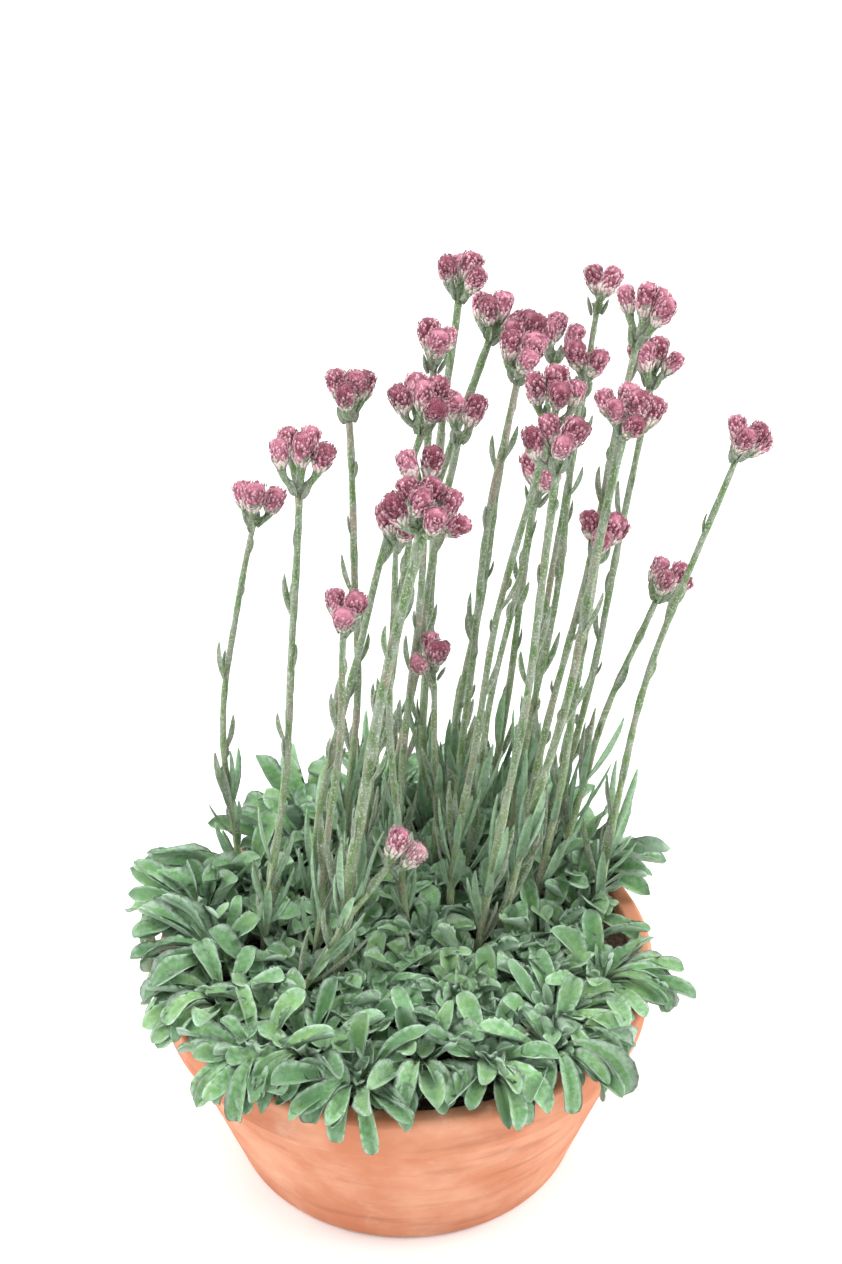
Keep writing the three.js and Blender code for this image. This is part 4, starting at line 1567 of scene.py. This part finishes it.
@dataclass
class LeafMat:
    """The felted mat: rosettes with their crowns, smaller leaves between them, wool, runners and litter."""

    layout: MatLayout
    seed: int = 41
    tries: int = 8
    hanging_tries: int = 60
    hanging_gap: float = 0.8
    back_from: tuple[float, float] = (12, 42)
    far_from: float = -8
    crown_heights: Sequence[float] = (0.3, 1.2, 2.6, 4.0, 4.7, 5.0)
    crown_radii: Sequence[float] = (2.9, 2.8, 2.5, 2.0, 1.2, 0.4)
    crown_sides: int = 12
    withered_share: float = 0.06
    withered_age: float = 0.95
    wool_length: tuple[float, float] = (0.35, 0.8)
    wool_width: float = 0.09
    litter: int = 90
    litter_radius: float = 62
    runners: int = 2
    runner_radius: float = 0.65

    def tone_of(self, leaf: MatLeaf) -> float:
        """Gives a leaf's lightness, which drifts over the mat.

        Args:
            leaf: The leaf.

        Returns:
            Its lightness, 0 to 1.
        """
        x, y = leaf.root[:2]
        broad = 0.22 * math.sin(x * 0.055 + 1.3) * math.cos(y * 0.06)
        drift = 0.5 + broad + 0.12 * math.sin(y * 0.14 + x * 0.09)
        return float(np.clip(drift + self.draws.normal(0, 0.28), 0, 1))

    def build(self, finishes: Finishes) -> None:
        """Builds the mat's pieces.

        Args:
            finishes: The finishes.
        """
        self.draws = np.random.default_rng(self.seed)
        main = Foliage(self.seed + 1, BladeSection())
        for leaf in self.layout.leaves:
            main.add(self.drawn(leaf), self.tone_of(leaf), self.draws.uniform(0.45, 0.7), Stations.FINE, 8)
        for rosette in self.layout.rosettes:
            self.add_crown(main.draft, rosette)
        settle(main.draft.make("rosette_leaves", [finishes.felt]), Slot.LEAF, "leaf_mat")
        fill = Foliage(self.seed + 2, BladeSection(below=3, thick=0.4))
        for leaf in self.layout.spare:
            fill.add(self.drawn(leaf), self.tone_of(leaf), self.draws.uniform(0.5, 0.7), Stations.MEDIUM, 4)
        kinds = ((RIM_LEAVES, 4), (HANGING_LEAVES, 4), (BACK_LEAVES, 3), (LOW_LEAVES, 2), (OUTER_LEAVES, 3))
        for kind, hairs in kinds:
            self.grow(fill, kind, Stations.MEDIUM, hairs)
        settle(fill.draft.make("infill_leaves", [finishes.felt]), Slot.LEAF)
        young = Foliage(self.seed + 3, BladeSection(below=3, thick=0.35, groove=0.25))
        self.grow(young, INNER_LEAVES, Stations.MEDIUM, 4)
        self.grow(young, HEART_LEAVES, Stations.COARSE, 0)
        settle(young.draft.make("young_leaves", [finishes.felt]), Slot.LEAF)
        self.add_wool(main.wool + fill.wool + young.wool, finishes)
        self.add_litter(finishes)

    def drawn(self, leaf: MatLeaf) -> MatLeaf:
        """Makes a leaf of the solid a little shorter and slimmer, most of all in the middle of the mat.

        Args:
            leaf: The solid's leaf.

        Returns:
            The leaf to draw.
        """
        x, y, _ = leaf.middle()
        inside = float(smooth(66, 48, np.array(math.hypot(x, y))))
        slim = self.draws.uniform(0.76, 0.92)
        return replace(leaf, length=leaf.length * (0.96 - 0.13 * inside), width=leaf.width * slim)

    def grow(self, foliage: Foliage, kind: Growth, stations: Stations, hairs: int) -> None:
        """Grows leaves of one kind on every rosette, where they are clear of the pot and the stems.

        Args:
            foliage: Where they go.
            kind: What they are like.
            stations: Where their rings are.
            hairs: How many hairs each margin bears.
        """
        draws, spread = self.draws, kind.zone.value
        hanging = kind.zone is Zone.OVER_RIM
        for rosette in filter(lambda one: self.grows_on(one, kind.zone), self.layout.rosettes):
            for k in range(kind.count):
                for _ in range(self.hanging_tries if hanging else self.tries):
                    angle = rosette.turn + k * GOLDEN_ANGLE + draws.normal(0, 0.3)
                    if kind.zone is not Zone.ANYWHERE:
                        angle = rosette.outward + draws.uniform(-spread, spread)
                    leaf = MatLeaf(
                        root=rosette.beside(angle, *kind.start),
                        azimuth=angle,
                        pitch=draws.uniform(*kind.pitch),
                        bend=draws.uniform(*kind.bend),
                        length=draws.uniform(*kind.length),
                        width=draws.uniform(*kind.width),
                        roll=draws.uniform(-kind.roll, kind.roll),
                        widest=draws.uniform(0.64, 0.74),
                    )
                    gap = self.hanging_gap if hanging else None
                    if self.within(leaf) and self.layout.clear(leaf.samples()[None], gap)[0]:
                        withered = kind is LOW_LEAVES and draws.random() < self.withered_share
                        age = self.withered_age if withered else draws.uniform(*kind.age)
                        foliage.add(leaf, self.tone_of(leaf), age, stations, hairs)
                        break

    def grows_on(self, rosette: Rosette, zone: Zone) -> bool:
        """Tells whether a rosette stands in a zone.

        Args:
            rosette: The rosette.
            zone: The zone.

        Returns:
            Whether it does.
        """
        if zone is Zone.BACK:
            behind, far = self.back_from
            return rosette.centre[1] > behind and math.hypot(*rosette.centre[:2]) > far
        if zone is Zone.FAR_RIM:
            return rosette.edge and rosette.centre[1] > self.far_from
        return zone is Zone.ANYWHERE or rosette.edge

    def within(self, leaf: MatLeaf) -> bool:
        """Tells whether a leaf's tip stays by the solids' box.

        Args:
            leaf: The leaf.

        Returns:
            Whether it does.
        """
        tip = leaf.frame_at(np.array([1.05]))[0].ravel() * MM
        low, high = (np.array(corner) for corner in START_BOUNDS)
        return bool(np.all((tip[:2] > low[:2] - MM) & (tip[:2] < high[:2] + MM)))

    def add_crown(self, draft: MeshDraft, rosette: Rosette) -> None:
        """Adds a rosette's short crown.

        Args:
            draft: Where it goes.
            rosette: The rosette.
        """
        heights, radii = np.array(self.crown_heights), np.array(self.crown_radii)
        wobble = 1 + 0.08 * self.draws.normal(size=(len(heights), self.crown_sides))
        rings = turned_rings(radii[:, None] * wobble, heights, self.crown_sides, rosette.turn)
        # Its low along values put the crown, most of all its foot, under the felt's painted shade.
        loft(draft, rings + rosette.centre, tone=0.5, age=0.5, along=0.1 + heights * 0.04, edge=0.3)

    def add_wool(self, wool: Sequence[tuple[Vec, Vec]], finishes: Finishes) -> None:
        """Adds the fine wool at the leaves' margins.

        Args:
            wool: Where the hairs stand and the ways that they point, for each leaf margin.
            finishes: The finishes.
        """
        roots = np.concatenate([part[0] for part in wool])
        out = np.concatenate([part[1] for part in wool])
        draft = MeshDraft()
        lengths = self.draws.uniform(*self.wool_length, len(roots))
        spikes(draft, roots, out, lengths, self.wool_width, 0)
        settle(draft.make("leaf_wool", [finishes.wool]), Slot.LEAF)

    def add_litter(self, finishes: Finishes) -> None:
        """Adds the runners from rosette to rosette and the withered bits that lie between them.

        Args:
            finishes: The finishes.
        """
        foliage = Foliage(self.seed + 4, BladeSection(top=5, below=3, thick=0.25, groove=0.1))
        centres = np.array([rosette.centre for rosette in self.layout.rosettes])
        for k, centre in enumerate(centres):
            nearest = np.argsort(np.linalg.norm(centres - centre, axis=1))[1 : 1 + self.runners]
            for other in nearest:
                t = np.linspace(0, 1, 11)[:, None]
                line = centre + (centres[other] - centre) * t
                bend = self.draws.normal(0, 1.6, 2)
                line[:, :2] += np.sin(math.pi * t) * bend + 0.4 * np.sin(9 * t + k)
                line[:, 2] += 0.75 + 0.4 * np.sin(5 * t[:, 0] + k)
                tube(foliage.draft, line, self.runner_radius, 6, 1, tone=0.6, along=0.15)
        for _ in range(self.litter):
            far = self.litter_radius * math.sqrt(self.draws.random())
            angle = TAU * self.draws.random()
            height = POT.soil_level + self.draws.uniform(0.8, 2.4)
            leaf = MatLeaf(
                root=vec(far * math.cos(angle), far * math.sin(angle), height),
                azimuth=TAU * self.draws.random(),
                pitch=self.draws.uniform(0.0, 0.35),
                bend=self.draws.uniform(0.2, 0.7),
                length=self.draws.uniform(5, 9),
                width=self.draws.uniform(1.6, 3.4),
                roll=self.draws.uniform(-1.2, 1.2),
            )
            foliage.add(leaf, 0.4, 0.85 + 0.15 * self.draws.random(), Stations.COARSE, 0)
        settle(foliage.draft.make("mat_litter", [finishes.felt, finishes.stalk]), Slot.STEM)


# Stems


@dataclass
class StalkPiece:
    """The green part of a flowering stem: a woolly stem, its narrow leaves and its hairs."""

    stem: FlowerStem
    rings: int = 60
    sides: int = 11
    buried: float = 7.7
    leaf_width: float = 2.4
    small_width: float = 1.7
    small_every: float = 23
    hairs: int = 260
    hair_width: float = 0.09
    bumps: int = 9
    foot_leaves: int = 11
    foot_rise: tuple[float, float] = (1, 34)
    full_rise: float = 150

    def line(self) -> tuple[Vec, Vec, Vec]:
        """Draws the stem's middle line.

        Returns:
            Its points, their shares of the way up and the radius at each.
        """
        share = np.linspace(0, 1, self.rings)
        above = self.stem.at(share)
        low = self.stem.foot - vec(0, 0, COLLAR_HEIGHT + self.buried)
        points = np.concatenate([[low], above])
        share = np.concatenate([[0.0], share])
        draws = np.random.default_rng(500 + self.stem.index)
        lumps = 0.04 * np.sin(share * 37 + self.stem.phase) + 0.03 * np.sin(share * 83 + self.stem.roll)
        for place, size in zip(draws.random(self.bumps), draws.uniform(0.04, 0.17, self.bumps)):
            lumps += size * np.exp(-(((share - place) / 0.018) ** 2))
        slim = 0.84 + 0.16 * share
        return points, share, self.stem.radius_at(share) * slim * (1 + lumps)

    def leaf(
        self,
        foliage: Foliage,
        share: float,
        turn: float,
        length: float,
        stand: float,
        width: float,
        fresh: float = 0,
    ) -> None:
        """Adds a narrow leaf that stands up close to the stem.

        Args:
            foliage: Where it goes.
            share: How far up the stem it grows.
            turn: On which side.
            length: Its length.
            stand: How far its middle and tip stand off, as a share of the solid's leaf.
            width: Its width.
            fresh: How green it is, from 0 where it is like the stem.
        """
        heading = self.stem.heading(share)
        across, up = frame_across(heading)
        out = around(across, up, turn)
        side = np.cross(heading, out)
        radius = float(self.stem.radius_at(share))
        t = np.array([0, 0.1, 0.22, 0.36, 0.5, 0.64, 0.78, 0.9, 0.98])
        offsets = [radius * 0.5, radius + 1.9 * stand, radius + 3.4 * stand]
        away = np.polyval(np.polyfit([0, 0.5, 1], offsets, 2), t)
        half = np.interp(t, [0, 0.25, 0.5, 0.8, 1], [0.42, 0.85, 1, 0.72, 0.14]) * width / 2
        centre = self.stem.at(share) + heading * (t * length)[:, None] + out * away[:, None]
        values = {"along": 0.35 + 0.5 * t + 0.2 * share, "tone": 0.25 + fresh, "age": 0.3 * fresh}
        rings = foliage.add_narrow(centre, side, half, 0.3, 2 if fresh else 0, **values)
        margin = rings[2:-1, [0, foliage.section.top - 1]].reshape(-1, 3)
        lean = np.tile([[1.0], [-1.0]], (len(rings) - 3, 1))
        outward = heading * 0.5 - lean * side + foliage.draws.normal(0, 0.4, (len(margin), 3))
        spikes(foliage.draft, margin, outward, 0.6, self.hair_width, 1)

    def build(self, finishes: Finishes) -> None:
        """Builds the stem.

        Args:
            finishes: The finishes.
        """
        stem = self.stem
        foliage = Foliage(300 + stem.index, BladeSection(top=5, below=3, thick=0.4, groove=0.15))
        draft, draws = foliage.draft, foliage.draws
        points, share, radius = self.line()
        angle = np.arange(self.sides) * TAU / self.sides
        ribs = 1 + 0.04 * np.sin(3 * angle + stem.roll) + 0.03 * draws.normal(size=(len(points), self.sides))
        # Height up the stem; low down, the stalk finish lays its pale foot colour, partly painted light
        # against the shade.
        height = np.clip((points[:, 2] - POT.soil_level) / self.full_rise, 0, 1)
        tube(draft, points, radius[:, None] * ribs, self.sides, 0, along=height, tone=draws.random())
        tall = stem.top[2] - stem.foot[2]
        lowest = stem.leaf_from / tall
        for i, random in enumerate(stem.leaf_draws):
            at = lowest + (0.88 - lowest) * (i + 0.8 * random) / len(stem.leaf_draws)
            turn = math.pi * (0.25 + 0.5 * (stem.first_side + (0, 2, 1)[i]))
            self.leaf(foliage, at, turn, 9 + 6 * (1 - random), 1, self.leaf_width)
        for k in range(int(tall // self.small_every)):
            at = min(0.95, (k + 0.7 + 0.5 * draws.random()) * self.small_every / tall)
            size, stand = draws.uniform(4, 9), draws.uniform(0.02, 0.22)
            self.leaf(foliage, at, k * GOLDEN_ANGLE + stem.roll, size, stand, self.small_width)
        for k in range(self.foot_leaves):
            at = draws.uniform(*self.foot_rise) / tall
            size = draws.uniform(10, 24)
            stand, width, fresh = draws.uniform(0.3, 2.2), draws.uniform(2.0, 3.3), 0.6 * (k % 3 > 0)
            self.leaf(foliage, at, k * 1.9 + stem.phase, size, stand, width, fresh)
        spots = draws.integers(1, len(points), self.hairs)
        turn = TAU * draws.random((self.hairs, 1))
        across, up = rails(points)
        out = around(across[spots], up[spots], turn)
        step = draws.random((self.hairs, 1))
        roots = points[spots] * (1 - step) + points[spots - 1] * step + out * radius[spots, None] * 0.9
        lean = out + draws.normal(0, 0.5, out.shape)
        spikes(draft, roots, lean, draws.uniform(0.4, 0.85, self.hairs), self.hair_width, 1)
        number = f"{stem.index + 1:02d}"
        piece = draft.make(f"stalk_{number}", [finishes.stalk, finishes.wool, finishes.felt])
        settle(piece, Slot.STEM, f"stem_{number}")


# Heads


@dataclass
class HeadShape:
    """One flower head in bud, standing on its base along z: a woolly cup, papery scales and fine florets."""

    seed: int
    width: float = 5.8
    foot: float = 0.2
    top: float = 7.9
    squareness: float = 3.1
    sides: int = 12
    cup_heights: Sequence[float] = (-2.0, -1.2, -0.4, 0.4, 1.4, 2.6)
    cup_radii: Sequence[float] = (1.1, 1.25, 1.55, 2.05, 2.5, 2.5)
    scales: int = 96
    florets: int = 345
    pappus: int = 80
    cup_scales: int = 17
    wool: int = 60

    def dome(self, level: Vec, angle: Vec) -> tuple[Vec, Vec, Vec]:
        """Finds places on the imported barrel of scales.

        Args:
            level: How far up the barrel, from -1 to 1.
            angle: The direction round the head.

        Returns:
            The points, the outward normals and the directions up the barrel.
        """
        wide, tall, middle = self.width / 2 - 0.3, (self.top - self.foot) / 2, (self.top + self.foot) / 2
        power = self.squareness
        level, angle = np.broadcast_arrays(level, angle)
        flat = (1 - np.abs(level) ** power) ** (1 / power)
        lobes = 1 + 0.09 * np.sin(3 * angle + self.seed) + 0.11 * np.sin(2 * angle + 3 * self.seed)
        reach = wide * lobes * flat * (1 + 0.17 * level)
        points = np.stack([reach * np.cos(angle), reach * np.sin(angle), middle + tall * level], -1)
        steep = np.abs(level) ** (power - 1) * np.sign(level) / tall
        out = flat ** (power - 1) / wide
        normal = unit(np.stack([out * np.cos(angle), out * np.sin(angle), steep], -1))
        up = unit(vec(0, 0, 1) - normal * normal[..., 2:] + 1e-6)
        return points, normal, up

    def add_scale(
        self, draft: MeshDraft, root: Vec, normal: Vec, up: Vec, size: Sequence[float], **values: float
    ) -> None:
        """Adds a small papery scale.

        Args:
            draft: Where it goes.
            root: Where it is attached.
            normal: The way out of the head.
            up: The way it points.
            size: Its length, its width and how far its tip stands out.
            values: Values for its finish.
        """
        length, width, lift = size
        t = np.array([0, 0.68])
        side = np.cross(up, normal)
        centre = root + up * (t * length)[:, None] + normal * (lift * t**1.5)[:, None]
        half = width / 2 * np.array([0.7, 1.0])
        corners = np.array([[-1, 0.0], [0, 0.2], [1, 0.0]])
        rings = centre[:, None] + side * (corners[:, 0] * half[:, None])[..., None]
        rings = rings + normal * (corners[:, 1] * np.ones((2, 1)))[..., None]
        ends = (rings[0].mean(0), root + up * length + normal * lift)
        loft(draft, rings, 0, ends, along=[0.1, 0.8], edge=np.ones((2, 1)) * np.abs(corners[:, 0]), **values)

    def draw(self) -> MeshDraft:
        """Draws the head.

        Returns:
            The head, its scales in finish 0, its cup in finish 1 and its hairs in finish 2.
        """
        draws = np.random.default_rng(self.seed)
        draft = MeshDraft()
        heights = np.array(self.cup_heights)
        cup = turned_rings(np.array(self.cup_radii), heights, self.sides)
        loft(draft, cup, 1, along=0.95, tone=0.1, edge=0.3 + heights * 0.2)
        level = np.linspace(-0.85, 0.985, 7)
        turn = np.arange(self.sides) * TAU / self.sides
        core = self.dome(level[:, None], turn)[0] * vec(0.95, 0.95, 0.985)
        low = smooth(-0.2, -0.8, level)
        loft(draft, core, 0, tone=0.1 + 0.35 * smooth(0.3, -0.6, level), along=0.1, age=0.4 * low)
        k = np.arange(self.scales)
        level = 0.8 - 1.62 * (k + 0.3) / self.scales
        angle = k * GOLDEN_ANGLE + 0.2 * draws.normal(size=self.scales)
        points, normal, up = self.dome(level, angle)
        for i in range(self.scales):
            low = float(smooth(-0.1, 0.8, -level[i]))
            length = 1.25 + 1.0 * low + 0.2 * draws.normal()
            size = (length, 0.8 + 0.5 * low, 0.2 + 0.3 * draws.random())
            tone = float(np.clip(draws.normal(0.45 + 0.25 * low, 0.24), 0, 1))
            age = float(np.clip(0.85 * smooth(0.1, 0.85, -level[i]) + draws.normal(0.08, 0.2), 0, 1))
            lean = unit(up[i] + 0.16 * draws.normal(size=3))
            self.add_scale(draft, points[i] - up[i] * length * 0.6, normal[i], lean, size, tone=tone, age=age)
        for i in range(self.cup_scales):
            turn = i * TAU / self.cup_scales + 0.1 * draws.normal()
            out = vec(math.cos(turn), math.sin(turn), 0)
            root = out * (1.6 + 0.35 * (i % 2)) + vec(0, 0, -0.5 + 0.8 * (i % 2))
            lean = unit(vec(0, 0, 1) + out * 0.42)
            size = (1.9 + 1.0 * draws.random(), 1.0, 0.15)
            pale = draws.uniform(0.5, 1.25)
            self.add_scale(draft, root, unit(out - lean * (out @ lean)), lean, size, tone=0.7, age=pale)
        self.add_florets(draft, draws)
        return draft

    def add_florets(self, draft: MeshDraft, draws: np.random.Generator) -> None:
        """Adds the fine tips that pack the crown and stand between the scales, and the wool on the cup.

        Args:
            draft: Where they go.
            draws: The source of their small irregularities.
        """
        count = self.florets
        level = 1 - 1.75 * draws.random(count) ** 1.3
        points, normal, up = self.dome(np.clip(level, -0.8, 0.985), TAU * draws.random(count))
        out = normal + 0.45 * up + draws.normal(0, 0.22, points.shape)
        crown = smooth(-0.2, 0.8, level)
        lengths = draws.uniform(0.28, 0.5, count)
        tone = np.clip(draws.normal(0.55 - 0.25 * crown, 0.3), 0, 1)
        pale = np.clip(draws.normal(0.36 - 0.28 * crown, 0.24), 0, 1)
        spikes(draft, points - normal * 0.1, out, lengths, 0.24, 0, tone=tone, age=pale)
        count = self.pappus
        points, normal, up = self.dome(1 - 1.2 * draws.random(count), TAU * draws.random(count))
        out = normal + 0.6 * up + draws.normal(0, 0.3, points.shape)
        spikes(draft, points, out, draws.uniform(0.45, 0.85, count), 0.12, 0, tone=0.9, age=0.3)
        turn = TAU * draws.random(self.wool)
        height = draws.uniform(-1.8, 2.6, self.wool)
        radius = np.interp(height, [-2.0, -0.4, 1.4, 2.6], [1.05, 1.5, 2.45, 2.55])
        roots = np.stack([radius * np.cos(turn), radius * np.sin(turn), height], -1)
        out = np.stack([np.cos(turn), np.sin(turn), 0.2 + 0 * turn], -1) + draws.normal(0, 0.4, roots.shape)
        spikes(draft, roots, out, draws.uniform(0.5, 0.9, self.wool), 0.11, 2)


@dataclass
class HeadCluster:
    """The heads at the top of a stem, on the woolly stalks that fan out of its knob and turn up again."""

    stem: FlowerStem
    shapes: Sequence[MeshDraft]
    upright: float = 0.45
    gather: float = 0.16
    head_middle: float = 4.2
    knob_rise: Sequence[float] = (-0.6, 0.2, 0.9, 1.6, 2.2, 2.6)
    stalk_hairs: int = 30
    bract_shares: Sequence[float] = (0, 0.15, 0.35, 0.55, 0.75, 0.92)
    bract_halves: Sequence[float] = (0.55, 0.95, 1.15, 1.05, 0.7, 0.2)

    def build(self, finishes: Finishes) -> None:
        """Builds the cluster.

        Args:
            finishes: The finishes.
        """
        stem = self.stem
        draws = np.random.default_rng(600 + stem.index)
        foliage = Foliage(700 + stem.index, BladeSection(top=5, below=3, thick=0.35, groove=0.1))
        draft = foliage.draft
        axis, middle = stem.heading(1), stem.middle()
        rise = np.array(self.knob_rise)
        knob = [stem.top_radius * 0.9, stem.top_radius * 1.1, 1.9, 0.9]
        radius = np.interp(rise, [-0.6, 0.3, 2.2, 2.6], knob)
        line = stem.top + axis * rise[:, None]
        tube(draft, line, radius, 12, 1, along=0.95, tone=0.2)
        pale = 0.3 * float(smooth(110, 60, np.array(stem.top[2] - stem.foot[2])))
        for k, direction in enumerate(stem.head_directions()):
            size = 1.05 - 0.07 * (k % 3) - 0.08 * draws.random()
            lean = unit(direction * (1 - self.upright) + axis * self.upright + draws.normal(0, 0.13, 3))
            closer = unit(direction * (1 - self.gather) + axis * self.gather)
            centre = middle + closer * (stem.stalk + self.head_middle * size)
            base = centre - lean * self.head_middle * size
            across, up = frame_across(lean)
            x = around(across, up, stem.roll + k)
            stretch = size * vec(1, 1, draws.uniform(0.95, 1.1))
            frame_rows = np.stack([x, np.cross(lean, x), lean]) * stretch[:, None]
            self.add_stalk(draft, draws, middle, direction, base, lean)
            shape = self.shapes[int(draws.integers(len(self.shapes)))]
            draft.place(shape, frame_rows, base, tone=draws.normal(0.05, 0.24), age=draws.normal(pale, 0.1))
        self.add_bracts(foliage, axis, middle)
        number = f"{stem.index + 1:02d}"
        piece = draft.make(f"heads_{number}", [finishes.bud, finishes.stalk, finishes.wool])
        settle(piece, Slot.BLOOM, f"bloom_{number}")

    def add_stalk(
        self, draft: MeshDraft, draws: np.random.Generator, middle: Vec, direction: Vec, base: Vec, lean: Vec
    ) -> None:
        """Adds a stalk that leaves the knob, bends up and widens into its head.

        Args:
            draft: Where it goes.
            draws: The source of its small irregularities.
            middle: The middle of the knob.
            direction: The way it leaves.
            base: The foot of its head.
            lean: The way its head stands.
        """
        start, end = middle - direction * 0.2, base - lean * 1.0
        reach = float(np.linalg.norm(end - start))
        bend = end - lean * reach * 0.45
        t = np.linspace(0, 1, 8)[:, None]
        line = (1 - t) ** 2 * start + 2 * t * (1 - t) * bend + t * t * end
        thick = np.interp(t[:, 0], [0, 0.3, 0.7, 1], [1.25, 1.05, 1.0, 1.3])
        tube(draft, line, thick, 10, 1, along=0.95, tone=0.2)
        spots = draws.integers(0, len(line), self.stalk_hairs)
        across, up = rails(line)
        out = around(across[spots], up[spots], TAU * draws.random((self.stalk_hairs, 1)))
        roots = line[spots] + out * thick[spots, None] * 0.9
        spikes(draft, roots, out + draws.normal(0, 0.5, out.shape), 0.6, 0.1, 2)

    def add_bracts(self, foliage: Foliage, axis: Vec, middle: Vec) -> None:
        """Adds the small leafy bracts that hug the foot of the stalks.

        Args:
            foliage: Where they go.
            axis: The way the stem ends.
            middle: The middle of the knob.
        """
        across, up = frame_across(axis)
        count = 3 + min(4, self.stem.heads // 2)
        t, half = np.array(self.bract_shares), np.array(self.bract_halves)
        for k in range(count):
            out = around(across, up, self.stem.roll + k * TAU / count + 0.4)
            length = min(self.stem.stalk + 2.5, 6.0) * foliage.draws.uniform(0.75, 1.1)
            lean = 0.3 + 0.25 * foliage.draws.random()
            foot = middle - axis * foliage.draws.uniform(0.8, 2.6)
            centre = foot + axis * (t * length)[:, None] + out * (1.3 + lean * length * t**1.2)[:, None]
            foliage.add_narrow(centre, np.cross(axis, out), half, 0.45, 1, along=0.9, tone=0.1)


# Studio


@dataclass(frozen=True)
class Lamp:
    """A soft square light: its place and its side in metres, and its power in watts."""

    name: str
    place: tuple[float, float, float]
    side: float
    power: float


LAMPS = (
    Lamp("key", (-0.15, 0.05, 1.1), 0.6, 4.6),
    Lamp("fill", (0.85, 0.0, 0.6), 0.8, 9.5),
    Lamp("side", (-0.85, 0.0, 0.6), 0.8, 7.5),
    Lamp("back", (0.1, 1.3, 1.1), 1.4, 4.0),
)


@dataclass
class Studio:
    """The pale floor, the soft light and the camera."""

    camera_place: tuple[float, float, float] = (0.0046, -0.5475, 0.5336)
    camera_down: float = 33.17
    lens: float = 70
    floor_radius: float = 4000
    floor_depth: float = 20
    sky: float = 1.1
    lit_point: tuple[float, float, float] = (0, 0, 0.12)

    def build(self, finishes: Finishes) -> None:
        """Builds the studio.

        Args:
            finishes: The finishes.
        """
        draft = MeshDraft()
        loft(draft, turned_rings(np.full(2, self.floor_radius), np.array([-self.floor_depth, 0]), 96))
        floor = draft.make("studio_floor", [finishes.floor], crease=30)
        world = bpy.data.worlds.new("soft_sky")
        world.use_nodes = True
        sky = world.node_tree.nodes["Background"].inputs
        sky["Color"].default_value = (1, 1, 1, 1)
        sky["Strength"].default_value = self.sky
        bpy.context.scene.world = world
        for lamp in LAMPS:
            self.light(lamp)
        lens = bpy.data.cameras.new("photo_camera")
        lens.lens = self.lens
        lens.clip_start = 0.01
        camera = bpy.data.objects.new("photo_camera", lens)
        camera.location = self.camera_place
        camera.rotation_euler = Euler((math.radians(90 - self.camera_down), 0, 0))
        bpy.context.scene.collection.objects.link(camera)
        bpy.context.scene.camera = camera
        bpy.context.scene.view_settings.view_transform = "Standard"

    def light(self, lamp: Lamp) -> None:
        """Adds a light that looks at the plant.

        Args:
            lamp: What it is like.
        """
        area = bpy.data.lights.new(lamp.name, "AREA")
        area.size = lamp.side
        area.energy = lamp.power
        made = bpy.data.objects.new(lamp.name, area)
        made.location = lamp.place
        made.rotation_euler = (Vector(self.lit_point) - made.location).to_track_quat("-Z", "Y").to_euler()
        bpy.context.scene.collection.objects.link(made)


def write_sizes() -> None:
    """Brings the view layer up to date."""
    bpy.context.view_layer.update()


def main() -> None:
    """Builds every piece and reports it."""
    logging.basicConfig(level=logging.INFO, format="%(message)s")
    finishes = Finishes()
    stems = [FlowerStem(index, *row) for index, row in enumerate(FLOWER_STEMS)]
    layout = MatLayout(stems)
    LOG.info("mat: %d leaves, %d more between them", len(layout.leaves), len(layout.spare))
    ClayPot().build(finishes)
    PottingSoil().build(finishes)
    LeafMat(layout).build(finishes)
    shapes = [HeadShape(seed).draw() for seed in range(1, 9)]
    for stem in stems:
        StalkPiece(stem).build(finishes)
        HeadCluster(stem, shapes).build(finishes)
    Studio().build(finishes)
    write_sizes()


if __name__ == "__main__":
    main()
